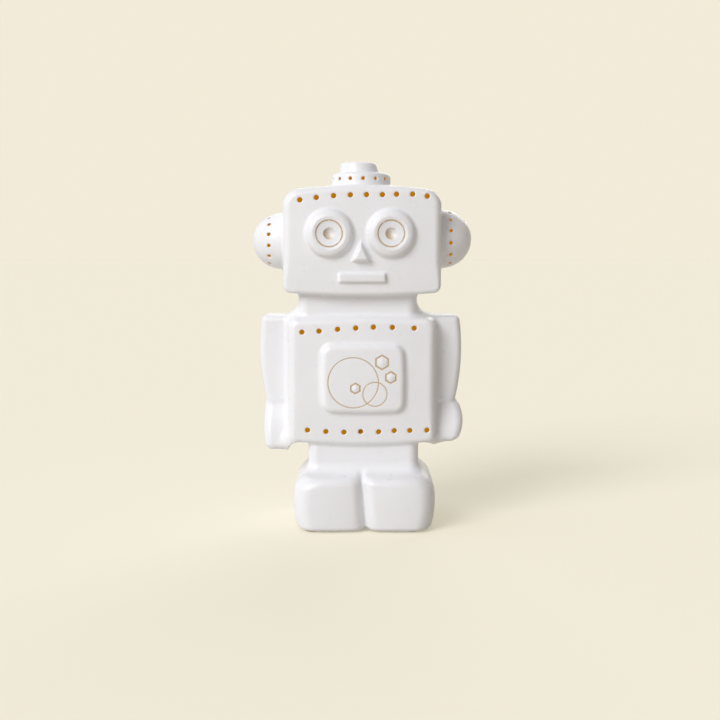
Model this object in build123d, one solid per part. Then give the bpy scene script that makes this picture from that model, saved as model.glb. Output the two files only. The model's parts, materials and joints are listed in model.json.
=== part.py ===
from build123d import *
from math import atan2, cos, degrees, radians, sin, sqrt, tan
import os

# Robot-shaped night lamp: a hollow slip-cast porcelain figure that stands on four soft pads and is
# slipped down over a small light unit.  The figure is luted together from cast slabs and rings and
# fired as one piece.  The unit is a vented plate with three leaf springs, a threaded nipple, an
# upright E14 lampholder and a small tubular bulb.
#
# Millimetres.  +Z is up, the figure faces -Y, and the origin lies on the table under its middle.

# ---------------------------------------------------------------- clearances
SLIDING_GAP = 0.3           # between pieces that slide past each other
THREAD_GAP = 0.08           # radial gap in a screwed or pushed fit
CUT_MARGIN = 1.0            # how far a cutting body runs past the face it cuts

# ---------------------------------------------------------------- porcelain figure
WALL = 4.0                  # cast wall
PARTING_Y = 5.0             # plane where the two halves of the plaster mould met
FACE_CURVATURE = 560.0      # radius of the softly crowned front and back faces
PAD_THICKNESS = 1.2         # the figure's underside stands this high
SEAM_CLEAR = 0.3            # the castings are luted together this far off the block beside them

# head: sizes at the parting plane, then how much smaller it is at its face
HEAD_HALF_WIDTH = 62.0
HEAD_BOTTOM = 178.0
HEAD_TOP = 263.0
HEAD_ARCH = 4.6             # the top falls by this much towards its corners
HEAD_BOW = 2.4              # the bottom rises by this much towards its corners
HEAD_TOP_CORNER = 11.0
HEAD_LOW_CORNER = 4.5
HEAD_HALF_DEPTH = 41.0
HEAD_DRAFT_SIDE = 3.4
HEAD_DRAFT_TOP = 2.6
HEAD_EDGE = 3.6

# torso
TORSO_HALF_WIDTH = 61.0
TORSO_BOTTOM = 63.5
TORSO_TOP = 164.0
TORSO_ARCH = 1.6
TORSO_BOW = 3.0
TORSO_CORNER = 6.5
TORSO_HALF_DEPTH = 38.0
TORSO_DRAFT_SIDE = 6.6
TORSO_DRAFT_TOP = 2.2
TORSO_EDGE = 3.5

# neck and hips: waists that flare into the blocks above and below them
NECK_HALF_WIDTH = 45.0
NECK_HALF_DEPTH = 29.0
NECK_FLARE_SIDE = 11.0
NECK_FLARE_FRONT = 4.5
HIP_HALF_WIDTH = 42.0
HIP_HALF_DEPTH = 32.0
HIP_FLARE_SIDE = 6.0
HIP_FLARE_FRONT = 4.5
WAIST_CORNER = 8.0

# feet
FEET_HALF_WIDTH = 53.6      # where the feet are widest
FEET_HALF_DEPTH = 48.0
FEET_TOP = 43.0
FEET_CORNER = 11.0          # rounded corners seen from above
FEET_ROUNDING = 7.0         # rounded upper edge
FEET_SOLE_ROUNDING = 3.0
FEET_SWELL = 2.6            # the sole and the top are this much narrower
FEET_MERGE = 1.0            # the two feet run into each other by this much

# arms
ARM_OUTER = 77.5            # reach of the upper arm from the middle
ARM_BULGE = 1.6             # how much its side swells
ARM_TOP = 163.0
ELBOW = 98.0
ELBOW_REACH = 74.5
ARM_HALF_DEPTH = 19.0
HAND_REACH = 79.0
HAND_BOTTOM = 62.0
HAND_FORWARD = 17.0         # degrees that the forearm leans forward
ARM_ROUNDING = 5.0
ARM_ROOT = 50.0             # the arms grow out of the torso from here
HAND_INNER = 57.0
HAND_HALF_DEPTH = 17.0
HAND_ROUNDING = 6.0

# ears
EAR_Z = 220.5
EAR_RADIUS = 22.0
EAR_SHOULDER = 67.0         # where the short cylinder turns into the dome
EAR_TIP = 85.3
EAR_DOME_CORNER = 14.0      # radius of the dome where it leaves the cylinder
EAR_HOLE_AT = 68.6
EAR_HOLES = 14

# beacon on the head
BEACON_RADIUS = 23.4
BEACON_TOP_RADIUS = 21.8
BEACON_SHOULDER = 271.6
BEACON_ROUNDING = 2.6
BEACON_CAP_RADIUS = 15.4
BEACON_CAP_TOP_RADIUS = 13.2
BEACON_CAP_TOP = 280.0
BEACON_CAP_ROUNDING = 1.8
BEACON_HOLE_Z = 267.2
BEACON_HOLES = 14

# pierced light holes
ROW_HOLE = 3.8              # diameter of the holes in the three rows
RING_HOLE = 2.6             # diameter of the holes round the ears and the beacon
BROW_HOLES = 9
BROW_PITCH = 11.85
BROW_CENTRE = 1.0
BROW_Z = 253.8
BROW_FALL = 3.0             # the row falls by this much towards its ends
SHOULDER_HOLES = 7
SHOULDER_PITCH = 14.1
SHOULDER_CENTRE = -3.0
SHOULDER_Z = 154.6
SHOULDER_FALL = 2.4
HIP_HOLES = 8
HIP_PITCH = 13.0
HIP_CENTRE = 4.0
HIP_Z = 75.4
HIP_FALL = -0.7

# face
EYE_SPACING = 46.2
EYE_Z = 224.8
EYE_RADIUS = 18.0
EYE_HEIGHT = 5.2
EYE_DISH = 2.2              # how deep the dish inside the rim is
EYE_GROOVE = 9.75           # radius of the engraved circle
GROOVE_WIDTH = 0.9
GROOVE_DEPTH = 0.5
PUPIL_RADIUS = 4.1
PUPIL_DEPTH = 2.2
NOSE_TOP = 218.8
NOSE_BOTTOM = 203.0
NOSE_HALF_WIDTH = 8.2
NOSE_CENTRE = -0.7
NOSE_HEIGHT = 6.0
NOSE_RIDGE = 0.72           # its front is this share of its base
MOUTH_Z = 192.1
MOUTH_WIDTH = 36.5
MOUTH_DEPTH = 8.0           # from its upper to its lower edge
MOUTH_HEIGHT = 3.2
MOUTH_CORNER = 1.6
MOUTH_EDGE = 0.7
RELIEF_BEVEL = 22.0         # slope of the flanks of raised pieces, degrees

# chest panel
PANEL_CENTRE_X = 1.5
PANEL_CENTRE_Z = 116.5
PANEL_WIDTH = 61.0
PANEL_TALL = 51.0
PANEL_CORNER = 7.0
PANEL_HEIGHT = 4.0
PANEL_BEVEL = 26.0
PANEL_EDGE = 1.2

# underside: a well for the light unit, and a channel for the cord
WELL_RADIUS = 34.0
WELL_DEPTH = 14.8
FLOOR_THICKNESS = 5.0
BORE_RADIUS = 23.0
CHANNEL_WIDTH = 9.0
CHANNEL_HEIGHT = 8.5

# pads
PAD_RADIUS = 5.0
PAD_EDGE = 0.4
PAD_X = 38.0
PAD_Y = 35.0

# ---------------------------------------------------------------- light unit
PLATE_RADIUS = 30.5
PLATE_THICKNESS = 1.2
PLATE_RIM = 3.4             # height of the turned-down rim
VENT_RING = 19.0
VENT_WIDTH = 3.2
VENT_ARC = 24.0             # degrees
VENT_APART = 34.0           # degrees between the two slots of a pair

NIPPLE_RADIUS = 5.0
NIPPLE_BORE = 4.2
NIPPLE_BELOW = 8.4          # how far it stands below the plate's top
NIPPLE_ABOVE = 9.0
NUT_ACROSS_FLATS = 14.0
NUT_THICKNESS = 3.0
WASHER_RADIUS = 7.6
WASHER_THICKNESS = 0.8
WASHER_TEETH = 12
WASHER_NOTCH = 1.1
BUSH_BORE = 3.1
BUSH_FLANGE_RADIUS = 5.6
BUSH_FLANGE = 1.0
BUSH_LENGTH = 7.0

SPRING_COUNT = 3
SPRING_WIDTH = 7.0
SPRING_LEAF = 0.5
SPRING_FOOT_START = 14.6
SPRING_FOOT_END = 20.0
SPRING_BULGE = 3.4          # height of its widest point above the plate
SPRING_TIP_RADIUS = 19.4
SPRING_TOP = 12.5           # height of its free end above the plate
SPRING_BEND = 1.0
RIVET_RING = 17.2
RIVET_RADIUS = 1.1
RIVET_HEAD_RADIUS = 1.9
RIVET_HEAD = 0.7

# E14 lampholder, standing mouth up on the plate
HOLDER_RADIUS = 13.4
HOLDER_WALL = 1.6
HOLDER_BOSS_RADIUS = 7.8
HOLDER_BOSS = 6.0           # height of the boss's straight part
HOLDER_CAP_HEIGHT = 18.0
SKIRT_OVERLAP = 4.0         # how far the skirt's neck reaches into the cap
SKIRT_HEIGHT = 29.0
SKIRT_TOP_RADIUS = 12.4
SKIRT_LIP = 1.2
INSERT_HEIGHT = 15.0
INSERT_GAP = 0.4
TERMINAL_SPREAD = 6.4
TERMINAL_WIDTH = 4.6
TERMINAL_DEEP = 4.4
TERMINAL_TALL = 5.2
TERMINAL_RECESS = 3.0       # how far the clamps sit above the insert's foot
TERMINAL_SCREW_RADIUS = 1.25
TERMINAL_HEAD_RADIUS = 2.0
TERMINAL_HEAD = 1.3
TERMINAL_SCREW_LENGTH = 4.2
SCREW_SHELL_WALL = 0.4
SCREW_SHELL_HEIGHT = 15.0
CONTACT_LEAF = 0.5
CONTACT_WIDTH = 3.6
CONTACT_LENGTH = 9.0
CONTACT_RISE = 2.2
GRUB_RADIUS = 1.5
GRUB_LENGTH = 3.6
GRUB_HEIGHT = 3.4           # above the plate

# tubular E14 bulb
BULB_LENGTH = 57.0
BULB_CAP_RADIUS = 6.9
BULB_CAP_WALL = 0.3
BULB_CAP_LENGTH = 19.0
BULB_SKIRT_RADIUS = 8.4     # the cap flares to this where it meets the glass
BULB_SKIRT_LENGTH = 4.5
INSULATOR_HEIGHT = 2.6
INSULATOR_LOW_RADIUS = 3.2
INSULATOR_HIGH_RADIUS = 6.3
BULB_CONTACT_RADIUS = 2.4
BULB_CONTACT_HEIGHT = 1.4
GLASS_RADIUS = 13.0
GLASS_NECK_RADIUS = 7.6
GLASS_SHOULDER = 14.0       # height of the S-shaped shoulder above the cap
GLASS_WALL = 0.7
STEM_RADIUS = 3.4
STEM_HEIGHT = 13.0          # above the cap's rim
PINCH_WIDTH = 7.6
PINCH_THICKNESS = 2.2
PINCH_HEIGHT = 6.0
FILAMENT_SPREAD = 12.0
FILAMENT_RISE = 2.4         # the middle stands this much above its ends
FILAMENT_HEIGHT = 22.0      # above the cap's rim
FILAMENT_RADIUS = 0.45
WIRE_RADIUS = 0.35
SUPPORT_RADIUS = 0.2

# ---------------------------------------------------------------- heights worked out from the above
SOLE = PAD_THICKNESS
PLATE_TOP = SOLE + WELL_DEPTH
PLATE_BOTTOM = PLATE_TOP - PLATE_THICKNESS
NIPPLE_LOW = PLATE_TOP - NIPPLE_BELOW
NIPPLE_HIGH = PLATE_TOP + NIPPLE_ABOVE
HOLDER_CAP_TOP = PLATE_TOP + HOLDER_CAP_HEIGHT
HOLDER_CAP_FLOOR = NIPPLE_HIGH + TERMINAL_HEAD
SKIRT_LOW = HOLDER_CAP_TOP - SKIRT_OVERLAP
SKIRT_TOP = SKIRT_LOW + SKIRT_HEIGHT
INSERT_TOP = HOLDER_CAP_FLOOR + INSERT_HEIGHT
INSERT_RADIUS = HOLDER_RADIUS - 2 * HOLDER_WALL - INSERT_GAP
SCREW_SHELL_RADIUS = BULB_CAP_RADIUS + THREAD_GAP
BULB_LOW = INSERT_TOP + CONTACT_RISE
BULB_TOP = BULB_LOW + BULB_LENGTH
INSULATOR_LOW = BULB_LOW + BULB_CONTACT_HEIGHT
INSULATOR_HIGH = INSULATOR_LOW + INSULATOR_HEIGHT
BULB_RIM = INSULATOR_HIGH + BULB_CAP_LENGTH
GLASS_LOW = BULB_RIM - BULB_SKIRT_LENGTH / 2
STEM_TOP = BULB_RIM + STEM_HEIGHT
FILAMENT_Z = BULB_RIM + FILAMENT_HEIGHT

UP = (0, 0, 1)
FORWARD = (0, -1, 0)


# ---------------------------------------------------------------- shapes that repeat
def front_plane(y):
    """Plane facing the viewer at depth y; its own x and y run along +X and +Z."""
    return Plane((0, y, 0), x_dir=(1, 0, 0), z_dir=FORWARD)


def turned(*outline):
    """A piece turned on a lathe about Z from lines drawn as (radius, height)."""
    return revolve(Plane.XZ * make_face(outline), Axis.Z)


def ring(outer, inner, low, high):
    """A flat-ended tube about Z."""
    tall = high - low
    tube = Pos(0, 0, low) * extrude(Circle(outer), tall)
    if inner > 0:
        tube -= Pos(0, 0, low - CUT_MARGIN) * extrude(Circle(inner), tall + 2 * CUT_MARGIN)
    return tube


def column(radius, low, high):
    """A round bar about Z."""
    return ring(radius, 0, low, high)


def bar_between(start, end, radius):
    """A round bar between two points."""
    line = Line(start, end)
    return sweep(Plane(line @ 0, z_dir=line % 0) * Circle(radius), path=line)


def around(count, piece):
    """Copies of a piece, evenly spaced about Z."""
    return [Rot(0, 0, 360 * turn / count) * piece for turn in range(count)]


# ---------------------------------------------------------------- porcelain figure
def block_outline(half_width, low, high, bow, arch, low_corner, high_corner):
    """Front view of a cast block: bowed bottom, arched top, rounded corners."""
    low_left = (-half_width, low + bow)
    low_right = (half_width, low + bow)
    high_left = (-half_width, high - arch)
    high_right = (half_width, high - arch)
    face = make_face([
        ThreePointArc(low_left, (0, low), low_right),
        Line(low_right, high_right),
        ThreePointArc(high_right, (0, high), high_left),
        Line(high_left, low_left),
    ])
    face = fillet(face.vertices().sort_by(Axis.Y)[2:], high_corner)
    return fillet(face.vertices().sort_by(Axis.Y)[:2], low_corner)


def cast_block(half_width, low, high, bow, arch, low_corner, high_corner,
               half_depth, draft_side, draft_top, edge, inset):
    """A block that narrows from the parting plane to its crowned front and back.

    With an inset, the same block shrunk by that much on every side, with sharp edges.
    """
    half_width -= inset
    low += inset
    high -= inset
    half_depth -= inset
    low_corner = max(low_corner - inset, 1.0)
    high_corner = max(high_corner - inset, 1.0)

    def section(y, share):
        outline = block_outline(half_width - share * draft_side, low + share * draft_top,
                                high - share * draft_top, bow, arch, low_corner, high_corner)
        return front_plane(y) * outline

    reach = half_depth + CUT_MARGIN
    sections = [
        section(PARTING_Y - reach, 1),
        section(PARTING_Y, 0),
        section(PARTING_Y + reach, 1),
    ]
    block = loft(sections, ruled=True)
    middle = (low + high) / 2
    for side in (-1, 1):
        centre_y = PARTING_Y + side * (half_depth - FACE_CURVATURE)
        block &= Pos(0, centre_y, middle) * Sphere(FACE_CURVATURE)
    if inset > 0:
        return block
    crowned = block.faces().filter_by(GeomType.SPHERE).sort_by(Axis.Y)
    rims = list(crowned[0].edges()) + list(crowned[-1].edges())
    return fillet(rims, min(edge, 0.9 * low_corner))


def head_block(inset):
    return cast_block(HEAD_HALF_WIDTH, HEAD_BOTTOM, HEAD_TOP, HEAD_BOW, HEAD_ARCH,
                      HEAD_LOW_CORNER, HEAD_TOP_CORNER, HEAD_HALF_DEPTH,
                      HEAD_DRAFT_SIDE, HEAD_DRAFT_TOP, HEAD_EDGE, inset)


def torso_block(inset):
    return cast_block(TORSO_HALF_WIDTH, TORSO_BOTTOM, TORSO_TOP, TORSO_BOW, TORSO_ARCH,
                      TORSO_CORNER, TORSO_CORNER, TORSO_HALF_DEPTH,
                      TORSO_DRAFT_SIDE, TORSO_DRAFT_TOP, TORSO_EDGE, inset)


def waist(half_width, half_depth, low, high, flare_side, flare_front):
    """A waist with a rounded oblong section that flares out at its foot."""
    width = 2 * half_width
    depth = 2 * half_depth
    flare_height = 0.7 * (high - low)
    steps = 5

    def section(z, spread):
        plan = RectangleRounded(width + 2 * flare_side * spread, depth + 2 * flare_front * spread,
                                WAIST_CORNER + flare_front * spread)
        return Pos(0, PARTING_Y, z) * plan

    sections = [section(low - CUT_MARGIN, 1 + CUT_MARGIN / flare_height)]
    for step in range(steps + 1):
        climb = step / steps
        spread = 1 - sqrt(1 - (1 - climb) ** 2)
        sections.append(section(low + climb * flare_height, spread))
    foot = loft(sections)
    plan = RectangleRounded(width, depth, WAIST_CORNER)
    shaft_low = low + flare_height
    shaft_high = high + HEAD_BOW + WALL / 2
    return foot + Pos(0, PARTING_Y, shaft_low) * extrude(plan, shaft_high - shaft_low)


def waist_hollow(half_width, half_depth, low, high, inset):
    """The straight shaft inside a waist, from the hollow below to the hollow above."""
    plan = RectangleRounded(2 * (half_width - inset), 2 * (half_depth - inset), WAIST_CORNER / 2)
    return Pos(0, PARTING_Y, low) * extrude(plan, high - low)


def neck(inset):
    if inset > 0:
        return waist_hollow(NECK_HALF_WIDTH, NECK_HALF_DEPTH, TORSO_TOP - 3 * inset,
                            HEAD_BOTTOM + 3 * inset, inset)
    return waist(NECK_HALF_WIDTH, NECK_HALF_DEPTH, TORSO_TOP - TORSO_ARCH - WALL / 2, HEAD_BOTTOM,
                 NECK_FLARE_SIDE, NECK_FLARE_FRONT)


def hips(inset):
    if inset > 0:
        return waist_hollow(HIP_HALF_WIDTH, HIP_HALF_DEPTH, SOLE + inset, TORSO_BOTTOM + 3 * inset,
                            inset)
    return waist(HIP_HALF_WIDTH, HIP_HALF_DEPTH, FEET_TOP - WALL / 4, TORSO_BOTTOM,
                 HIP_FLARE_SIDE, HIP_FLARE_FRONT)


def foot_block(inset):
    """The foot on the +X side: swelling at mid height, with rounded edges."""
    inner = inset - FEET_MERGE / 2
    depth = 2 * (FEET_HALF_DEPTH - inset)
    low = SOLE + inset
    high = FEET_TOP - inset

    def section(z, outer):
        width = outer - inset - inner
        plan = RectangleRounded(width, depth, FEET_CORNER - inset / 2)
        return Pos(inner + width / 2, 0, z) * plan

    foot = loft([
        section(low, FEET_HALF_WIDTH - FEET_SWELL),
        section((low + high) / 2, FEET_HALF_WIDTH),
        section(high, FEET_HALF_WIDTH - FEET_SWELL),
    ])
    if inset > 0:
        return foot
    ends = foot.faces().sort_by(Axis.Z)
    foot = fillet(ends[-1].edges(), FEET_ROUNDING)
    return fillet(foot.faces().sort_by(Axis.Z)[0].edges(), FEET_SOLE_ROUNDING)


def arm(inset):
    """The arm on the +X side: upper arm and a forearm that leans forward from the elbow."""
    side_plane = front_plane(PARTING_Y)
    root = ARM_ROOT
    outer = ARM_OUTER - inset
    top = ARM_TOP - inset
    elbow_reach = ELBOW_REACH - inset
    belly = (top + ELBOW) / 2
    upper_face = make_face([
        Line((root, ELBOW), (root, top)),
        Line((root, top), (outer, top)),
        ThreePointArc((outer, top), (outer + ARM_BULGE, belly), (elbow_reach, ELBOW)),
        Line((elbow_reach, ELBOW), (root, ELBOW)),
    ])
    upper = extrude(side_plane * upper_face, ARM_HALF_DEPTH - inset, both=True)
    hand_inner = HAND_INNER + inset
    hand_low = HAND_BOTTOM + inset
    hand_outer = HAND_REACH - inset
    hand_face = make_face([
        Line((hand_inner, ELBOW), (elbow_reach, ELBOW)),
        ThreePointArc((elbow_reach, ELBOW), (hand_outer, (ELBOW + hand_low) / 2), (hand_outer - 2, hand_low)),
        Line((hand_outer - 2, hand_low), (hand_inner, hand_low)),
        Line((hand_inner, hand_low), (hand_inner, ELBOW)),
    ])
    hand = extrude(side_plane * hand_face, HAND_HALF_DEPTH - inset, both=True)
    if inset == 0:
        free = upper.edges().filter_by(lambda edge: edge.center().X > root + inset + 1)
        upper = fillet(free, ARM_ROUNDING)
        hand = fillet(hand.edges(), HAND_ROUNDING)
    lean = Pos(0, PARTING_Y, ELBOW) * Rot(-HAND_FORWARD, 0, 0) * Pos(0, -PARTING_Y, -ELBOW)
    return upper + lean * hand


def ear(inset):
    """The ear on the +X side: a short cylinder with a domed end, turned about its own axis.

    The dome is a tight arc at its rim, tangent to a flatter arc over its top.
    """
    root = HEAD_HALF_WIDTH - 2 * WALL
    rise = EAR_SHOULDER - root
    radius = EAR_RADIUS - inset
    dome = EAR_TIP - inset - EAR_SHOULDER
    corner = EAR_DOME_CORNER - inset
    crown = ((radius - corner) ** 2 + dome ** 2 - corner ** 2) / (2 * (dome - corner))
    turn = degrees(atan2(crown - dome, radius - corner))
    outline = make_face([
        Line((0, 0), (radius, 0)),
        Line((radius, 0), (radius, rise)),
        CenterArc((radius - corner, rise), corner, 0, turn),
        CenterArc((0, rise + dome - crown), crown, turn, 90 - turn),
        Line((0, rise + dome), (0, 0)),
    ])
    upright = revolve(Plane.XZ * outline, Axis.Z)
    return Pos(root, PARTING_Y, EAR_Z) * Rot(0, 90, 0) * upright


def beacon(inset):
    """The beacon on the head: a low drum with a rounded shoulder and a smaller cap."""
    root = HEAD_TOP - 2 * WALL
    points = [
        (0, root),
        (BEACON_RADIUS - inset, root),
        (BEACON_RADIUS - inset, HEAD_TOP - inset),
        (BEACON_TOP_RADIUS - inset, BEACON_SHOULDER - inset),
        (BEACON_CAP_RADIUS - inset, BEACON_SHOULDER - inset),
        (BEACON_CAP_TOP_RADIUS - inset, BEACON_CAP_TOP - inset),
        (0, BEACON_CAP_TOP - inset),
    ]
    outline = make_face(Polyline(*points, close=True))
    if inset == 0:
        shoulder = outline.vertices().sort_by_distance((BEACON_TOP_RADIUS, BEACON_SHOULDER))[0]
        outline = fillet(shoulder, BEACON_ROUNDING)
        crown = outline.vertices().sort_by_distance((BEACON_CAP_TOP_RADIUS, BEACON_CAP_TOP))[0]
        outline = fillet(crown, BEACON_CAP_ROUNDING)
    return Pos(0, PARTING_Y, 0) * revolve(Plane.XZ * outline, Axis.Z)


def both_sides(piece):
    return piece + mirror(piece, Plane.YZ)


def figure_form(inset):
    """The whole figure as one form, with every face moved inwards by the inset."""
    form = head_block(inset) + neck(inset) + torso_block(inset) + hips(inset)
    form += both_sides(arm(inset))
    form += both_sides(ear(inset))
    form += both_sides(foot_block(inset))
    return form + beacon(inset)


def face_y(half_depth, x, height):
    """Depth of a crowned front face, at a place measured from the middle of the face."""
    fall = FACE_CURVATURE - sqrt(FACE_CURVATURE ** 2 - x ** 2 - height ** 2)
    return PARTING_Y - half_depth + fall


def eye():
    """A round cushion with a dished middle, an engraved circle and a sunk pupil."""
    rim = EYE_RADIUS - EYE_HEIGHT
    dish_floor = EYE_HEIGHT - EYE_DISH
    groove_outer = EYE_GROOVE + GROOVE_WIDTH / 2
    groove_inner = EYE_GROOVE - GROOVE_WIDTH / 2
    groove_height = EYE_HEIGHT - EYE_DISH / 2
    dish = TangentArc((rim, EYE_HEIGHT), (groove_outer, groove_height), tangent=(-1, 0))
    outline = make_face([
        Line((0, -WALL / 2), (EYE_RADIUS, -WALL / 2)),
        Line((EYE_RADIUS, -WALL / 2), (EYE_RADIUS, 0)),
        CenterArc((rim, 0), EYE_HEIGHT, 0, 90),
        dish,
        Line((groove_outer, groove_height), (EYE_GROOVE, groove_height - GROOVE_DEPTH)),
        Line((EYE_GROOVE, groove_height - GROOVE_DEPTH), (groove_inner, groove_height)),
        Line((groove_inner, groove_height), (PUPIL_RADIUS, dish_floor)),
        Line((PUPIL_RADIUS, dish_floor), (0, dish_floor - PUPIL_DEPTH)),
        Line((0, dish_floor - PUPIL_DEPTH), (0, -WALL / 2)),
    ])
    return Rot(90, 0, 0) * revolve(Plane.XZ * outline, Axis.Z)


def nose():
    """A three-cornered wedge that narrows towards its flat front."""
    tall = NOSE_TOP - NOSE_BOTTOM
    middle = NOSE_BOTTOM + tall / 3

    def section(y, share):
        half = share * NOSE_HALF_WIDTH
        low = middle - share * tall / 3
        high = middle + share * 2 * tall / 3
        corners = [(NOSE_CENTRE - half, low), (NOSE_CENTRE + half, low), (NOSE_CENTRE, high)]
        return front_plane(y) * make_face(Polyline(*corners, close=True))

    skin = face_y(HEAD_HALF_DEPTH, 0, 0)
    return loft([section(skin + WALL / 2, 1), section(skin - NOSE_HEIGHT, NOSE_RIDGE)], ruled=True)


def raised_plate(width, tall, corner, height, bevel, edge, sunk):
    """A raised plate with sloping flanks, drawn in the plane of the face it stands on."""
    plate = extrude(RectangleRounded(width, tall, corner), height + sunk, taper=bevel)
    plate = fillet(plate.faces().sort_by(Axis.Z)[-1].edges(), edge)
    return Rot(90, 0, 0) * Pos(0, 0, -sunk) * plate


def face_relief():
    """Eyes, nose, mouth and chest panel, standing on the crowned fronts."""
    head_middle = (HEAD_BOTTOM + HEAD_TOP) / 2
    torso_middle = (TORSO_BOTTOM + TORSO_TOP) / 2
    relief = nose()
    for side in (-1, 1):
        x = side * EYE_SPACING / 2
        relief += Pos(x, face_y(HEAD_HALF_DEPTH, x, EYE_Z - head_middle), EYE_Z) * eye()
    mouth = raised_plate(MOUTH_WIDTH, MOUTH_DEPTH, MOUTH_CORNER, MOUTH_HEIGHT, RELIEF_BEVEL,
                         MOUTH_EDGE, WALL / 2)
    relief += Pos(0, face_y(HEAD_HALF_DEPTH, 0, MOUTH_Z - head_middle), MOUTH_Z) * mouth
    panel = raised_plate(PANEL_WIDTH, PANEL_TALL, PANEL_CORNER, PANEL_HEIGHT, PANEL_BEVEL,
                         PANEL_EDGE, WALL / 2)
    panel_y = face_y(TORSO_HALF_DEPTH, 0, PANEL_CENTRE_Z - torso_middle)
    return relief + Pos(PANEL_CENTRE_X, panel_y, PANEL_CENTRE_Z) * panel


def hole_row(count, pitch, centre, z, fall, half_depth):
    """A pierced row across a front; the ends lie lower than the middle by the fall."""
    span = (count - 1) * pitch / 2
    reach = half_depth - 2 * WALL
    holes = []
    for number in range(count):
        along = number * pitch - span
        height = z - fall * (along / span) ** 2
        drill = extrude(front_plane(PARTING_Y - reach) * Circle(ROW_HOLE / 2), reach)
        holes.append(Pos(centre + along, 0, height) * drill)
    return holes


def light_holes():
    """Every pierced hole: three rows and the rings round the ears and the beacon."""
    holes = hole_row(BROW_HOLES, BROW_PITCH, BROW_CENTRE, BROW_Z, BROW_FALL, HEAD_HALF_DEPTH)
    holes += hole_row(SHOULDER_HOLES, SHOULDER_PITCH, SHOULDER_CENTRE, SHOULDER_Z, SHOULDER_FALL,
                      TORSO_HALF_DEPTH)
    holes += hole_row(HIP_HOLES, HIP_PITCH, HIP_CENTRE, HIP_Z, HIP_FALL, TORSO_HALF_DEPTH)

    beacon_drill = Rot(90, 0, 0) * column(RING_HOLE / 2, BEACON_RADIUS - 2 * WALL, 2 * BEACON_RADIUS)
    for drill in around(BEACON_HOLES, beacon_drill):
        holes.append(Pos(0, PARTING_Y, BEACON_HOLE_Z) * drill)

    ear_drill = Rot(90, 0, 0) * column(RING_HOLE / 2, EAR_RADIUS - 2 * WALL, 2 * EAR_RADIUS)
    for drill in around(EAR_HOLES, ear_drill):
        for side in (-1, 1):
            holes.append(Pos(side * EAR_HOLE_AT, PARTING_Y, EAR_Z) * Rot(0, 90, 0) * drill)
    return holes


def cord_channel(grow):
    """The arched tunnel under the figure, from the well out through its back."""
    half = CHANNEL_WIDTH / 2 + grow
    straight = CHANNEL_HEIGHT - CHANNEL_WIDTH / 2
    mouth = make_face([
        Line((-half, -CUT_MARGIN), (half, -CUT_MARGIN)),
        Line((half, -CUT_MARGIN), (half, straight)),
        ThreePointArc((half, straight), (0, straight + half), (-half, straight)),
        Line((-half, straight), (-half, -CUT_MARGIN)),
    ])
    start = WELL_RADIUS - WALL
    length = FEET_HALF_DEPTH + CUT_MARGIN - start
    return Pos(0, start + length, SOLE) * extrude(Rot(90, 0, 0) * mouth, length)


def porcelain_body():
    """The hollow casting, open at the well in its underside."""
    hollow = figure_form(WALL)
    hollow -= column(WELL_RADIUS + WALL, 0, PLATE_TOP + FLOOR_THICKNESS)
    hollow -= cord_channel(WALL)
    body = figure_form(0) + face_relief()
    body -= hollow
    body -= column(WELL_RADIUS, 0, PLATE_TOP)
    body -= column(BORE_RADIUS, 0, PLATE_TOP + FLOOR_THICKNESS + CUT_MARGIN)
    body -= cord_channel(0)
    return body - light_holes()


def parted(piece, plane):
    """What lies behind a plane, and what lies in front of it."""
    return split(piece, bisect_by=plane, keep=Keep.BOTTOM), split(piece, bisect_by=plane, keep=Keep.TOP)


def slabs(block, half_width, half_height, half_depth, draft):
    """A block's left flank, right flank, front, back and the rest, parted along its inner faces."""
    flank_seam = half_width - draft - WALL
    corner = flank_seam ** 2 + half_height ** 2
    face_seam = half_depth - WALL - (FACE_CURVATURE - sqrt(FACE_CURVATURE ** 2 - corner))
    left, rest = parted(block, Plane.YZ.offset(-flank_seam))
    rest, right = parted(rest, Plane.YZ.offset(flank_seam))
    front, rest = parted(rest, Plane((0, PARTING_Y - face_seam, 0), z_dir=(0, 1, 0)))
    rest, back = parted(rest, Plane((0, PARTING_Y + face_seam, 0), z_dir=(0, 1, 0)))
    return left, right, front, back, rest


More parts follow.
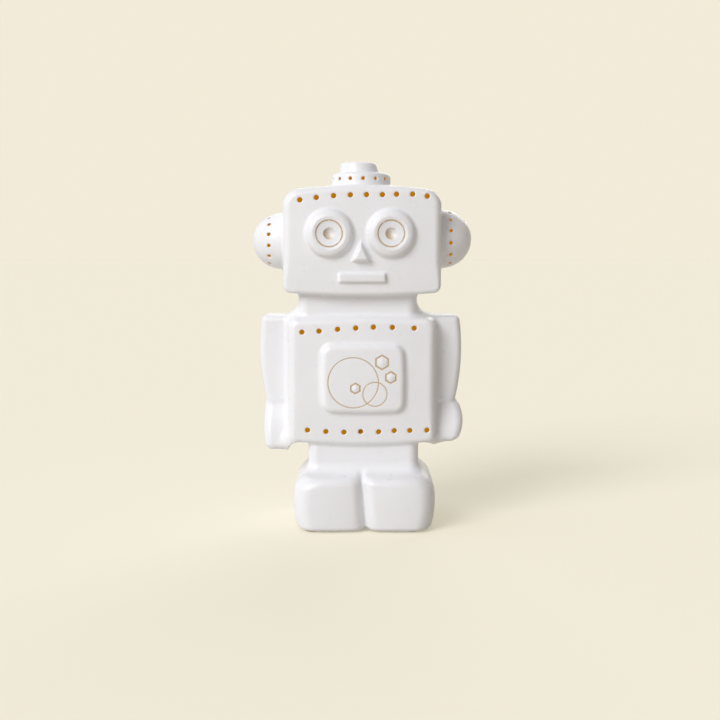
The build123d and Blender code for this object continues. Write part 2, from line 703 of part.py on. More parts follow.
def castings():
    """The figure, parted at the seams where its slabs and rings are luted together."""
    pieces = {}
    under_torso = min(TORSO_BOTTOM, arm(0).bounding_box().min.Z) - SEAM_CLEAR
    pieces["feet_casting"], rest = parted(porcelain_body(), Plane.XY.offset(FEET_TOP + SEAM_CLEAR))
    pieces["hip_ring"], rest = parted(rest, Plane.XY.offset(under_torso))
    torso, rest = parted(rest, Plane.XY.offset(TORSO_TOP + SEAM_CLEAR))
    pieces["neck_ring"], rest = parted(rest, Plane.XY.offset(HEAD_BOTTOM - SEAM_CLEAR))
    head, pieces["beacon_casting"] = parted(rest, Plane.XY.offset(HEAD_TOP + SEAM_CLEAR))

    torso_half_height = (TORSO_TOP - TORSO_BOTTOM) / 2
    torso_slabs = slabs(torso, TORSO_HALF_WIDTH, torso_half_height, TORSO_HALF_DEPTH, TORSO_DRAFT_SIDE)
    pieces["arm_casting_left"], pieces["arm_casting_right"] = torso_slabs[:2]
    pieces["torso_front"], pieces["torso_back"] = torso_slabs[2:4]
    torso_middle = Plane.XY.offset(TORSO_BOTTOM + torso_half_height)
    pieces["torso_waist"], pieces["torso_shoulders"] = parted(torso_slabs[4], torso_middle)

    head_half_height = (HEAD_TOP - HEAD_BOTTOM) / 2
    head_slabs = slabs(head, HEAD_HALF_WIDTH, head_half_height, HEAD_HALF_DEPTH, HEAD_DRAFT_SIDE)
    pieces["ear_casting_left"], pieces["ear_casting_right"] = head_slabs[:2]
    pieces["head_front"], pieces["head_back"] = head_slabs[2:4]
    head_middle = Plane.XY.offset(HEAD_BOTTOM + head_half_height)
    pieces["head_chin"], pieces["head_crown"] = parted(head_slabs[4], head_middle)
    return pieces


def foot_pad(side, end):
    """A soft disc under one corner of the feet."""
    outline = make_face(Polyline(
        (0, 0), (PAD_RADIUS - PAD_EDGE, 0), (PAD_RADIUS, PAD_EDGE), (PAD_RADIUS, SOLE), (0, SOLE),
        close=True))
    return Pos(side * PAD_X, end * PAD_Y, 0) * revolve(Plane.XZ * outline, Axis.Z)


# ---------------------------------------------------------------- light unit
def mounting_plate():
    """A round plate with a turned-down rim, vent slots, and holes for nipple and rivets."""
    plate = column(PLATE_RADIUS, PLATE_TOP - PLATE_RIM, PLATE_TOP)
    plate = fillet(plate.faces().sort_by(Axis.Z)[-1].edges(), PLATE_THICKNESS)
    plate -= column(PLATE_RADIUS - PLATE_THICKNESS, PLATE_TOP - PLATE_RIM - CUT_MARGIN, PLATE_BOTTOM)
    plate -= column(NIPPLE_RADIUS + THREAD_GAP, PLATE_BOTTOM - CUT_MARGIN, PLATE_TOP + CUT_MARGIN)
    plate -= around(SPRING_COUNT, Pos(RIVET_RING, 0, 0) * rivet_hole())
    half_arc = VENT_ARC / 2
    start = (VENT_RING * cos(radians(half_arc)), -VENT_RING * sin(radians(half_arc)))
    end = (start[0], -start[1])
    slot = SlotArc(ThreePointArc(start, (VENT_RING, 0), end), VENT_WIDTH)
    cutter = Pos(0, 0, PLATE_BOTTOM - CUT_MARGIN) * extrude(slot, PLATE_THICKNESS + 2 * CUT_MARGIN)
    between_springs = 180 / SPRING_COUNT
    for side in (-1, 1):
        turn = between_springs + side * VENT_APART / 2
        plate -= around(SPRING_COUNT, Rot(0, 0, turn) * cutter)
    return plate


def rivet_hole():
    """The hole that a rivet's shank passes through, in plate and leaf alike."""
    return column(RIVET_RADIUS + THREAD_GAP, PLATE_BOTTOM - CUT_MARGIN,
                  PLATE_TOP + SPRING_LEAF + CUT_MARGIN)


def retaining_springs():
    """Leaf springs whose bulges bear on the bore of the porcelain floor."""
    bulge = BORE_RADIUS - SLIDING_GAP - SPRING_LEAF / 2
    foot_z = PLATE_TOP + SPRING_LEAF / 2
    path = FilletPolyline(
        (SPRING_FOOT_START, foot_z),
        (SPRING_FOOT_END, foot_z),
        (bulge, PLATE_TOP + SPRING_BULGE),
        (SPRING_TIP_RADIUS, PLATE_TOP + SPRING_TOP),
        radius=SPRING_BEND)
    leaf = extrude(Plane.XZ * trace(path, SPRING_LEAF), SPRING_WIDTH / 2, both=True)
    leaf -= Pos(RIVET_RING, 0, 0) * rivet_hole()
    return around(SPRING_COUNT, leaf)


def spring_rivets():
    """Round-headed rivets through the leaves and the plate."""
    top = PLATE_TOP + SPRING_LEAF
    rivet = column(RIVET_RADIUS, PLATE_BOTTOM - RIVET_HEAD, top + RIVET_HEAD)
    head = column(RIVET_HEAD_RADIUS, top, top + RIVET_HEAD)
    rivet += fillet(head.faces().sort_by(Axis.Z)[-1].edges(), RIVET_HEAD / 2)
    rivet += column(RIVET_HEAD_RADIUS, PLATE_BOTTOM - RIVET_HEAD, PLATE_BOTTOM)
    return around(SPRING_COUNT, Pos(RIVET_RING, 0, 0) * rivet)


def threaded_nipple():
    return ring(NIPPLE_RADIUS, NIPPLE_BORE, NIPPLE_LOW, NIPPLE_HIGH)


def lock_washer():
    """A toothed ring between nut and plate."""
    high = PLATE_BOTTOM
    low = high - WASHER_THICKNESS
    washer = ring(WASHER_RADIUS, NIPPLE_RADIUS + THREAD_GAP, low, high)
    notch_start = (WASHER_RADIUS + NIPPLE_RADIUS) / 2 + WASHER_NOTCH / 2
    notch = Pos(notch_start + WASHER_RADIUS / 2, 0, (low + high) / 2) * Box(
        WASHER_RADIUS, WASHER_NOTCH, 2 * WASHER_THICKNESS)
    return washer - around(WASHER_TEETH, notch)


def nipple_nut():
    """A hexagon nut with chamfered corners."""
    high = PLATE_BOTTOM - WASHER_THICKNESS
    low = high - NUT_THICKNESS
    corner = NUT_ACROSS_FLATS / 2 / cos(radians(30))
    nut = Pos(0, 0, low) * extrude(RegularPolygon(corner, 6), NUT_THICKNESS)
    fall = (corner - NUT_ACROSS_FLATS / 2) * tan(radians(30))
    nut &= turned(Polyline(
        (0, low), (NUT_ACROSS_FLATS / 2, low), (corner, low + fall), (corner, high), (0, high),
        close=True))
    return nut - column(NIPPLE_RADIUS + THREAD_GAP, low - CUT_MARGIN, high + CUT_MARGIN)


def nipple_bush():
    """The insulating bush in the nipple's lower end, where a cord would enter."""
    bush = column(NIPPLE_BORE - THREAD_GAP, NIPPLE_LOW, NIPPLE_LOW + BUSH_LENGTH)
    flange = column(BUSH_FLANGE_RADIUS, NIPPLE_LOW - BUSH_FLANGE, NIPPLE_LOW)
    bush += fillet(flange.faces().sort_by(Axis.Z)[0].edges(), BUSH_FLANGE / 2)
    low = NIPPLE_LOW - BUSH_FLANGE - CUT_MARGIN
    return bush - column(BUSH_BORE, low, NIPPLE_LOW + BUSH_LENGTH + CUT_MARGIN)


def holder_cap():
    """The lampholder's cap: a boss on the nipple that widens into a cup."""
    rise = HOLDER_CAP_FLOOR - PLATE_TOP - HOLDER_BOSS
    outside = Polyline(
        (NIPPLE_RADIUS + THREAD_GAP, PLATE_TOP),
        (HOLDER_BOSS_RADIUS, PLATE_TOP),
        (HOLDER_BOSS_RADIUS, PLATE_TOP + HOLDER_BOSS),
        (HOLDER_RADIUS, PLATE_TOP + HOLDER_BOSS + rise),
        (HOLDER_RADIUS, HOLDER_CAP_TOP),
        (HOLDER_RADIUS - HOLDER_WALL, HOLDER_CAP_TOP),
        (HOLDER_RADIUS - HOLDER_WALL, HOLDER_CAP_FLOOR),
        (NIPPLE_RADIUS + THREAD_GAP, HOLDER_CAP_FLOOR),
        close=True)
    cap = turned(outside)
    return cap - grub_hole()


def grub_hole():
    """The tapped hole through the boss."""
    drill = Rot(90, 0, 0) * column(GRUB_RADIUS + THREAD_GAP, 0, HOLDER_RADIUS)
    return Pos(0, 0, PLATE_TOP + GRUB_HEIGHT) * drill


def grub_screw():
    """The screw that stops the holder turning on the nipple."""
    start = NIPPLE_RADIUS
    screw = Rot(90, 0, 0) * column(GRUB_RADIUS, start, start + GRUB_LENGTH)
    return Pos(0, 0, PLATE_TOP + GRUB_HEIGHT) * screw


def holder_skirt():
    """The screwed-on skirt round insert and screw shell."""
    neck_radius = HOLDER_RADIUS - HOLDER_WALL - THREAD_GAP
    inner = neck_radius - HOLDER_WALL
    mouth = BULB_SKIRT_RADIUS + SLIDING_GAP
    ceiling = SKIRT_TOP - SKIRT_LIP
    return turned(Polyline(
        (inner, SKIRT_LOW),
        (neck_radius, SKIRT_LOW),
        (neck_radius, HOLDER_CAP_TOP),
        (HOLDER_RADIUS, HOLDER_CAP_TOP),
        (SKIRT_TOP_RADIUS, SKIRT_TOP),
        (mouth, SKIRT_TOP),
        (mouth, ceiling),
        (inner, ceiling - SKIRT_LIP),
        close=True))


def terminal_place(side):
    """Where a terminal clamp sits in the insert: its centre and its lower face."""
    return Pos(side * TERMINAL_SPREAD, 0, HOLDER_CAP_FLOOR + TERMINAL_RECESS)


def holder_insert():
    """The ceramic core: pockets below for the clamps, a flat top for shell and contact."""
    insert = column(INSERT_RADIUS, HOLDER_CAP_FLOOR, INSERT_TOP)
    pocket_tall = TERMINAL_RECESS + TERMINAL_TALL
    pocket = Box(TERMINAL_WIDTH + 2 * THREAD_GAP, TERMINAL_DEEP + 2 * THREAD_GAP, pocket_tall,
                 align=(Align.CENTER, Align.CENTER, Align.MIN))
    for side in (-1, 1):
        insert -= terminal_place(side) * Pos(0, 0, -TERMINAL_RECESS) * pocket
    return insert


def terminal_clamps():
    """Brass clamps, tapped from below."""
    clamp = Box(TERMINAL_WIDTH, TERMINAL_DEEP, TERMINAL_TALL,
                align=(Align.CENTER, Align.CENTER, Align.MIN))
    clamp -= column(TERMINAL_SCREW_RADIUS + THREAD_GAP, -CUT_MARGIN, TERMINAL_TALL + CUT_MARGIN)
    return [terminal_place(side) * clamp for side in (-1, 1)]


def terminal_screws():
    """Slotted screws under the clamps."""
    screw = column(TERMINAL_HEAD_RADIUS, -TERMINAL_HEAD, 0)
    screw += column(TERMINAL_SCREW_RADIUS, 0, TERMINAL_SCREW_LENGTH)
    slot = Box(3 * TERMINAL_HEAD_RADIUS, TERMINAL_HEAD / 2, TERMINAL_HEAD)
    screw -= Pos(0, 0, -TERMINAL_HEAD) * slot
    return [terminal_place(side) * screw for side in (-1, 1)]


def screw_shell():
    """The metal sleeve that takes the bulb's cap, with a turned-in foot."""
    outer = SCREW_SHELL_RADIUS + SCREW_SHELL_WALL
    shell = column(outer, INSERT_TOP, INSERT_TOP + SCREW_SHELL_HEIGHT)
    shell -= column(SCREW_SHELL_RADIUS, INSERT_TOP + SCREW_SHELL_WALL,
                    INSERT_TOP + SCREW_SHELL_HEIGHT + CUT_MARGIN)
    foot_hole = CONTACT_LENGTH / 2 + 2 * SCREW_SHELL_WALL
    return shell - column(foot_hole, INSERT_TOP - CUT_MARGIN, INSERT_TOP + SCREW_SHELL_HEIGHT)


def centre_contact():
    """A bronze leaf that rises from the insert to the bulb's contact."""
    half = CONTACT_LENGTH / 2
    path = FilletPolyline(
        (-half, INSERT_TOP + CONTACT_LEAF / 2),
        (-half / 3, INSERT_TOP + CONTACT_LEAF / 2),
        (0, BULB_LOW - CONTACT_LEAF / 2),
        (half / 2, BULB_LOW - CONTACT_LEAF / 2),
        radius=CONTACT_LEAF)
    return extrude(Plane.XZ * trace(path, CONTACT_LEAF), CONTACT_WIDTH / 2, both=True)


# ---------------------------------------------------------------- bulb
def bulb_contact():
    """The solder button at the bulb's foot."""
    button = column(BULB_CONTACT_RADIUS, BULB_LOW, INSULATOR_LOW)
    return fillet(button.faces().sort_by(Axis.Z)[0].edges(), BULB_CONTACT_HEIGHT / 2)


def bulb_insulator():
    """The black glass cone between contact and cap."""
    return turned(Polyline(
        (0, INSULATOR_LOW), (INSULATOR_LOW_RADIUS, INSULATOR_LOW),
        (INSULATOR_HIGH_RADIUS, INSULATOR_HIGH), (0, INSULATOR_HIGH), close=True))


def bulb_cap():
    """The screwed metal cap, flared where it holds the glass."""
    skirt_low = BULB_RIM - BULB_SKIRT_LENGTH
    flare = BULB_SKIRT_RADIUS - BULB_CAP_RADIUS
    wall = BULB_CAP_WALL
    return turned(Polyline(
        (0, INSULATOR_HIGH),
        (BULB_CAP_RADIUS, INSULATOR_HIGH),
        (BULB_CAP_RADIUS, skirt_low - flare),
        (BULB_SKIRT_RADIUS, skirt_low),
        (BULB_SKIRT_RADIUS, BULB_RIM),
        (BULB_SKIRT_RADIUS - wall, BULB_RIM),
        (BULB_SKIRT_RADIUS - wall, skirt_low),
        (BULB_CAP_RADIUS - wall, skirt_low - flare),
        (BULB_CAP_RADIUS - wall, INSULATOR_HIGH + wall),
        (0, INSULATOR_HIGH + wall),
        close=True))


def glass_outline(radius, neck_radius, top):
    """Half outline of the bulb: neck, S-shaped shoulder, tube and round crown."""
    shoulder = BULB_RIM + GLASS_SHOULDER
    middle = ((neck_radius + radius) / 2, BULB_RIM + GLASS_SHOULDER / 2)
    crown = top - radius
    swell = TangentArc((neck_radius, BULB_RIM), middle, tangent=(0, 1))
    return [
        Line((neck_radius, GLASS_LOW), (neck_radius, BULB_RIM)),
        swell,
        TangentArc(middle, (radius, shoulder), tangent=swell % 1),
        Line((radius, shoulder), (radius, crown)),
        CenterArc((0, crown), radius, 0, 90),
    ]


def bulb_glass():
    """The thin clear envelope, open at its neck."""
    outside = glass_outline(GLASS_RADIUS, GLASS_NECK_RADIUS, BULB_TOP)
    inside = glass_outline(GLASS_RADIUS - GLASS_WALL, GLASS_NECK_RADIUS - GLASS_WALL,
                           BULB_TOP - GLASS_WALL)
    crown = Line((0, BULB_TOP), (0, BULB_TOP - GLASS_WALL))
    foot = Line((GLASS_NECK_RADIUS - GLASS_WALL, GLASS_LOW), (GLASS_NECK_RADIUS, GLASS_LOW))
    return turned(*outside, crown, *inside, foot)


def bulb_stem():
    """The glass stem: a flare sealed into the neck, a tube and a flattened pinch."""
    seal = GLASS_NECK_RADIUS - GLASS_WALL - THREAD_GAP
    tube_top = STEM_TOP - PINCH_HEIGHT
    stem = turned(Polyline(
        (seal - GLASS_WALL, GLASS_LOW), (seal, GLASS_LOW), (seal, GLASS_LOW + GLASS_WALL),
        (STEM_RADIUS, BULB_RIM + GLASS_WALL), (STEM_RADIUS, tube_top),
        (STEM_RADIUS - GLASS_WALL, tube_top), (STEM_RADIUS - GLASS_WALL, BULB_RIM + GLASS_WALL),
        close=True))
    pinch = Box(PINCH_WIDTH, PINCH_THICKNESS, PINCH_HEIGHT,
                align=(Align.CENTER, Align.CENTER, Align.MIN))
    stem += Pos(0, 0, tube_top) * fillet(pinch.edges().filter_by(Axis.Z), PINCH_THICKNESS / 3)
    for side in (-1, 1):
        stem -= lead_wire(side, WIRE_RADIUS + THREAD_GAP / 2)
        stem -= support_wire(side, SUPPORT_RADIUS + THREAD_GAP / 2)
    return stem


def lead_wire(side, radius):
    """A lead wire: up through the pinch, then outwards to the filament's end."""
    inner = PINCH_WIDTH / 4
    rise_from = BULB_RIM + GLASS_WALL
    bend = STEM_TOP + 1.0
    end = FILAMENT_Z - FILAMENT_RADIUS
    upright = bar_between((side * inner, 0, rise_from), (side * inner, 0, bend), radius)
    slope = bar_between((side * inner, 0, bend), (side * FILAMENT_SPREAD / 2, 0, end), radius)
    return upright + slope + Pos(side * inner, 0, bend) * Sphere(radius)


def support_wire(side, radius):
    """A thin support that carries the filament between its ends."""
    foot = (side * PINCH_WIDTH / 16, 0, STEM_TOP - PINCH_HEIGHT / 3)
    x = side * FILAMENT_SPREAD / 6
    rise = FILAMENT_RISE * (1 - (1 / 3) ** 2)
    return bar_between(foot, (x, 0, FILAMENT_Z + rise - FILAMENT_RADIUS - THREAD_GAP), radius)


def filament():
    """The filament: an arch between the lead wires."""
    half = FILAMENT_SPREAD / 2
    arch = ThreePointArc((-half, 0, FILAMENT_Z), (0, 0, FILAMENT_Z + FILAMENT_RISE), (half, 0, FILAMENT_Z))
    return sweep(Plane(arch @ 0, z_dir=arch % 0) * Circle(FILAMENT_RADIUS), path=arch)


# ---------------------------------------------------------------- write every piece
def write(name, *solids):
    """Write one piece, or a group of like pieces, to its own file."""
    whole = list(solids)
    export_step(whole[0] if len(whole) == 1 else Compound(children=whole), f"parts/{name}.step")


os.makedirs("parts", exist_ok=True)
for casting_name, casting in castings().items():
    write(casting_name, casting)
for side, side_name in ((-1, "left"), (1, "right")):
    for end, end_name in ((-1, "front"), (1, "back")):
        write(f"foot_pad_{end_name}_{side_name}", foot_pad(side, end))
write("mounting_plate", mounting_plate())
write("retaining_springs", *retaining_springs())
write("spring_rivets", *spring_rivets())
write("threaded_nipple", threaded_nipple())
write("lock_washer", lock_washer())
write("nipple_nut", nipple_nut())
write("nipple_bush", nipple_bush())
write("holder_cap", holder_cap())
write("grub_screw", grub_screw())
write("holder_skirt", holder_skirt())
write("holder_insert", holder_insert())
write("terminal_clamps", *terminal_clamps())
write("terminal_screws", *terminal_screws())
write("screw_shell", screw_shell())
write("centre_contact", centre_contact())
write("bulb_contact", bulb_contact())
write("bulb_insulator", bulb_insulator())
write("bulb_cap", bulb_cap())
write("bulb_glass", bulb_glass())
write("bulb_stem", bulb_stem())
write("bulb_lead_wires", lead_wire(-1, WIRE_RADIUS), lead_wire(1, WIRE_RADIUS))
write("bulb_supports", support_wire(-1, SUPPORT_RADIUS), support_wire(1, SUPPORT_RADIUS))
write("bulb_filament", filament())
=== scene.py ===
import json
import logging
import math
from dataclasses import dataclass, field
from enum import Enum
from typing import Callable, NamedTuple, Sequence

import bmesh
import bpy
import numpy as np
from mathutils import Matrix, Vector


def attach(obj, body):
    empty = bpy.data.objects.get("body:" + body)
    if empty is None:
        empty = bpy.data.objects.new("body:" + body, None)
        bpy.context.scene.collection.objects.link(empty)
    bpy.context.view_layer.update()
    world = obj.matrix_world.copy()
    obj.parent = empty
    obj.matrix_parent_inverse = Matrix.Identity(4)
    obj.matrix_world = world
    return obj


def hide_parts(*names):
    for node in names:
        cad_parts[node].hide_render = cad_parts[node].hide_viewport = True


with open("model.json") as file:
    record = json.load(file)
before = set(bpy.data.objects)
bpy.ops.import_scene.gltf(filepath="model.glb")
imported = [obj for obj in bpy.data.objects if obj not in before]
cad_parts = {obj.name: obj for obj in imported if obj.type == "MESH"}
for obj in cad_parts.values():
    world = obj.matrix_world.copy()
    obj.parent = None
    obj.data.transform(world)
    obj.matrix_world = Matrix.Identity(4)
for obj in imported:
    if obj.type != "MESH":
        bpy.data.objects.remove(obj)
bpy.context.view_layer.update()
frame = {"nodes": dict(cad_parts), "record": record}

log = logging.getLogger("robot_lamp")
MM = 0.001
PROBE = 0.05        # half the width of the small tetrahedron that a field is sampled on, in millimetres
FAR = 50.0          # a distance beyond anything that matters, in millimetres
RELIEF_ROOT = 4.0   # how deep raised work reaches into the wall, in millimetres
SLOPE_ROOT = 1.0    # how deep its sloping flanks keep their slope, in millimetres
SPREAD_LIMIT = 1.4  # a block's bows and crowns are followed this far past its edge, as a squared share
BELLY_LIMIT = 1.3   # the same for feet, hands and plates
DEPTH_LIMIT = 1.2   # the same for drafts, as a plain share
END_CROWN = 0.5     # a crown from end to end, as a share of the crown from side to side
FLATTEST = 0.25     # a squared gradient is taken as no less than this
LONGEST_STEP = 0.7  # the most that a point moves at once, in millimetres
TINY = 1e-6         # keeps a division from zero, and two sizes this close are the same
CORNERS = np.array([[1, 1, 1], [1, -1, -1], [-1, 1, -1], [-1, -1, 1]], np.float32)  # of a tetrahedron
SHIFTS = ((0, 0), (0, 1), (1, 0), (1, 1))   # from a grid square's first corner to all four
Point = tuple[float, float, float]
Colour = tuple[float, float, float]
Socket = bpy.types.NodeSocket
Grid = np.ndarray


class Places(NamedTuple):
    """Places in space, as three arrays of millimetres."""

    x: Grid
    y: Grid
    z: Grid


Field = Callable[[Places], Grid]


# ============================================================ distance fields, in millimetres
def smooth_min(a: Grid, b: Grid, blend: float | Grid) -> Grid:
    """Join two forms with a soft fillet about `blend` wide."""
    overlap = np.maximum(blend - np.abs(a - b), 0.0) / blend
    return np.minimum(a, b) - overlap * overlap * blend * 0.25


def smooth_max(a: Grid, b: Grid, blend: float | Grid) -> Grid:
    """Intersect two forms with a soft edge about `blend` wide."""
    return -smooth_min(-a, -b, blend)


def length(a: Grid, b: Grid) -> Grid:
    """The long side of a right angle."""
    return np.sqrt(a * a + b * b)


def rounded_pair(a: Grid, b: Grid, radius: float) -> Grid:
    """Distance to the corner between two faces, rounded by `radius`.

    Args:
        a: distance to one face.
        b: distance to the other.
        radius: of the rounding.

    Returns:
        Negative inside, positive outside.
    """
    a = a + radius
    b = b + radius
    inside = np.minimum(np.maximum(a, b), 0.0)
    return inside + length(np.maximum(a, 0.0), np.maximum(b, 0.0)) - radius


def ramp(value: Grid, low: float, high: float) -> Grid:
    """A smooth step from 0 at `low` to 1 at `high`."""
    share = np.clip((value - low) / (high - low), 0.0, 1.0)
    return share * share * (3.0 - 2.0 * share)


def squared_share(offset: Grid, half: float, limit: float) -> Grid:
    """The squared share that an offset makes up of `half`, held at `limit`."""
    return np.minimum((offset / half) ** 2, limit)


def nearest_turn(turn: Grid, count: int) -> Grid:
    """The angle from the nearest of `count` even steps round a circle."""
    step = 2 * math.pi / count
    return turn - np.round(turn / step) * step


@dataclass(frozen=True)
class DrillRing:
    """A ring of drills that all point to one axis, in millimetres."""

    middle: float
    half: float
    count: int = 14
    radius: float = 1.35

    def distance(self, turn: Grid, radial: Grid, off: Grid) -> Grid:
        """Approximate signed distance to the drills.

        Args:
            turn: angles round the axis, from the first drill.
            radial: distances from the axis.
            off: distances from the plane of the drills.

        Returns:
            Negative inside a drill.
        """
        drill = length(off, radial * np.sin(nearest_turn(turn, self.count))) - self.radius
        return np.maximum(drill, np.abs(radial - self.middle) - self.half)


@dataclass(frozen=True)
class CastBlock:
    """A drafted block of slip-cast clay: arched top, bowed bottom, crowned front and back.

    All sizes are millimetres. The block is widest at its parting plane and narrows towards
    its two faces, as it must to leave its mould.
    """

    centre: Point
    half: Point
    low_corner: float
    high_corner: float
    edge: float
    draft_side: float
    draft_top: float
    arch: float
    bow: float
    crown: float
    low_tightness: float
    draft_low: float
    edge_span: tuple[float, float] = (0.3, 0.8)

    def front(self, x: Grid, z: Grid) -> Grid:
        """Depth of the crowned front face at a place on it."""
        return self.centre[1] - self.half[1] + self._crowned(x - self.centre[0], z - self.centre[2])

    def _crowned(self, across: Grid, rise: Grid) -> Grid:
        """How far the crown of a face has fallen, at offsets from its middle."""
        spread = squared_share(across, self.half[0], SPREAD_LIMIT)
        return self.crown * (spread + END_CROWN * squared_share(rise, self.half[2], SPREAD_LIMIT))

    def distance(self, at: Places) -> Grid:
        """Approximate signed distance to the block's skin.

        Args:
            at: the places.

        Returns:
            Negative inside, positive outside.
        """
        x, y, z = at
        across = x - self.centre[0]
        deep = np.abs(y - self.centre[1])
        rise = z - self.centre[2]
        share = np.minimum(deep / self.half[1], DEPTH_LIMIT)
        spread = squared_share(across, self.half[0], SPREAD_LIMIT)
        side = np.abs(across) - (self.half[0] - self.draft_side * share)
        top = rise - (self.half[2] - self.draft_top * share - self.arch * spread)
        bottom = -rise - (self.half[2] - self.draft_low * share - self.bow * spread)
        outline = np.where(rise > 0, rounded_pair(side, top, self.high_corner),
                           rounded_pair(side, bottom, self.low_corner))
        face = deep - (self.half[1] - self._crowned(across, rise))
        tight = ramp(-rise, self.edge_span[0] * self.half[2], self.edge_span[1] * self.half[2])
        edge = self.edge - self.low_tightness * tight
        return rounded_pair(outline, face, edge)


@dataclass(frozen=True)
class Prism:
    """An upright post of rounded oblong plan, in millimetres."""

    centre: Point
    half: Point
    corner: float

    def distance(self, at: Places) -> Grid:
        """Approximate signed distance to the post.

        Args:
            at: the places.

        Returns:
            Negative inside, positive outside.
        """
        x, y, z = at
        plan = rounded_pair(np.abs(x - self.centre[0]) - self.half[0],
                            np.abs(y - self.centre[1]) - self.half[1], self.corner)
        return np.maximum(plan, np.abs(z - self.centre[2]) - self.half[2])


@dataclass(frozen=True)
class Foot:
    """One blunt foot, fuller at mid height, in millimetres. `side` is -1 or 1."""

    side: int
    inner: float
    outer: float
    low: float = 1.2
    high: float = 45.0
    toe_drop: float = 4.6
    half_depth: float = 47.8
    outer_corner: float = 13.0
    inner_corner: float = 9.5
    toe_rounding: float = 5.0
    shoulder_rounding: float = 10.5
    shoulder_span: tuple[float, float] = (24.0, 2.0)
    sole_rounding: float = 3.4
    swell: float = 3.4
    crown: float = 2.4
    slant: float = 0.09

    def distance(self, at: Places) -> Grid:
        """Approximate signed distance to the foot.

        Args:
            at: the places.

        Returns:
            Negative inside, positive outside.
        """
        x, y, z = at
        middle = (self.low + self.high) / 2
        belly = squared_share(z - middle, self.high - middle, BELLY_LIMIT)
        reach = self.side * x
        outer = reach - (self.outer - self.swell * belly)
        inner = self.inner - self.side * (x - self.slant * (middle - z))
        width = self.outer - self.inner
        spread = squared_share(reach - (self.outer + self.inner) / 2, width / 2, BELLY_LIMIT)
        deep = np.abs(y) - (self.half_depth - self.crown * (spread + END_CROWN * belly))
        plan = np.maximum(rounded_pair(outer, deep, self.outer_corner),
                          rounded_pair(inner, deep, self.inner_corner))
        top = z - self.high + self.toe_drop * squared_share(y, self.half_depth, DEPTH_LIMIT)
        shoulder = ramp(reach, self.outer - self.shoulder_span[0], self.outer - self.shoulder_span[1])
        rounding = self.toe_rounding + (self.shoulder_rounding - self.toe_rounding) * shoulder
        body = rounded_pair(plan, top, rounding)
        return np.maximum(body, rounded_pair(plan, self.low - z, self.sole_rounding))


@dataclass(frozen=True)
class Arm:
    """An arm against the torso's flank: upper arm, crease at the elbow, hand leaning forward."""

    side: int
    hand_swell: float
    hand_low: float
    hand_reach: float
    crease: float
    width: float = 79.0
    root: float = 46.0
    top: float = 163.0
    elbow: float = 97.5
    half_depth: float = 19.0
    centre_y: float = 5.0
    lean: float = 0.30
    rounding: float = 5.0
    flank_peak: float = 137.0
    flank_fall: float = 0.0030
    crown: float = 1.8
    crown_root: float = 55.0
    shoulder_rounding: float = 4.0
    elbow_rounding: float = 3.0
    palm_root: float = 57.5
    palm_rounding: float = 6.5
    finger_rounding: float = 5.0
    finger_taper: float = 2.2
    elbow_overlap: float = 2.0
    hand_margin: float = 0.5
    hand_thinner: float = 1.0

    def distance(self, at: Places) -> Grid:
        """Approximate signed distance to arm and hand together.

        Args:
            at: the places.

        Returns:
            Negative inside, positive outside.
        """
        x, y, z = at
        reach = self.side * x
        outer = reach - (self.width - self.flank_fall * (z - self.flank_peak) ** 2)
        share = (reach - self.crown_root) / (self.width - self.crown_root)
        crown = self.crown * np.clip(share, 0.0, DEPTH_LIMIT) ** 2
        deep = np.abs(y - self.centre_y) - (self.half_depth - crown)
        upper = rounded_pair(rounded_pair(outer, z - self.top, self.shoulder_rounding), deep, self.rounding)
        upper = rounded_pair(upper, self.elbow - self.elbow_overlap - z, self.elbow_rounding)
        upper = np.maximum(upper, self.root - reach)
        middle = (self.elbow + self.hand_low) / 2
        half = (self.elbow - self.hand_low) / 2 + self.hand_margin
        belly = squared_share(z - middle, half, BELLY_LIMIT)
        palm = reach - (self.hand_reach - self.hand_swell * belly)
        forward = y - self.centre_y + self.lean * (self.elbow - z)
        thick = np.abs(forward) - (self.half_depth - self.hand_thinner - self.finger_taper * belly)
        hand = rounded_pair(palm, thick, self.palm_rounding)
        hand = rounded_pair(hand, np.abs(z - middle) - half, self.finger_rounding)
        hand = np.maximum(hand, self.palm_root - reach)
        return smooth_min(upper, hand, self.crease)


@dataclass(frozen=True)
class Ear:
    """A domed ear, a half ellipsoid on the head's flank with a ring of pierced holes."""

    side: int
    z: float
    ring_x: float
    first_hole: float
    root: float = 61.8
    radius: float = 21.7
    tip: float = 85.1
    centre_y: float = 5.0
    overlap: float = 14.0
    least_slope: float = 1e-4
    drills: DrillRing = DrillRing(20.0, 8.0)

    def distance(self, at: Places) -> Grid:
        """Approximate signed distance to the dome.

        Args:
            at: the places.

        Returns:
            Negative inside, positive outside.
        """
        x, y, z = at
        long = self.tip - self.root
        along = (self.side * x - self.root) / long
        across = length(y - self.centre_y, z - self.z) / self.radius
        size = np.sqrt(along * along + across * across)
        slope = np.sqrt((along / long) ** 2 + (across / self.radius) ** 2) + self.least_slope
        dome = size * (size - 1.0) / slope
        return np.maximum(dome, self.root - self.overlap - self.side * x)

    def ring(self, at: Places) -> Grid:
        """Distance to the drills of the ring of holes.

        Args:
            at: the places.

        Returns:
            Negative inside a drill.
        """
        x, y, z = at
        dy, dz = y - self.centre_y, z - self.z
        turn = np.arctan2(dz, -dy) - math.radians(self.first_hole)
        return self.drills.distance(turn, length(dy, dz), self.side * x - self.ring_x)


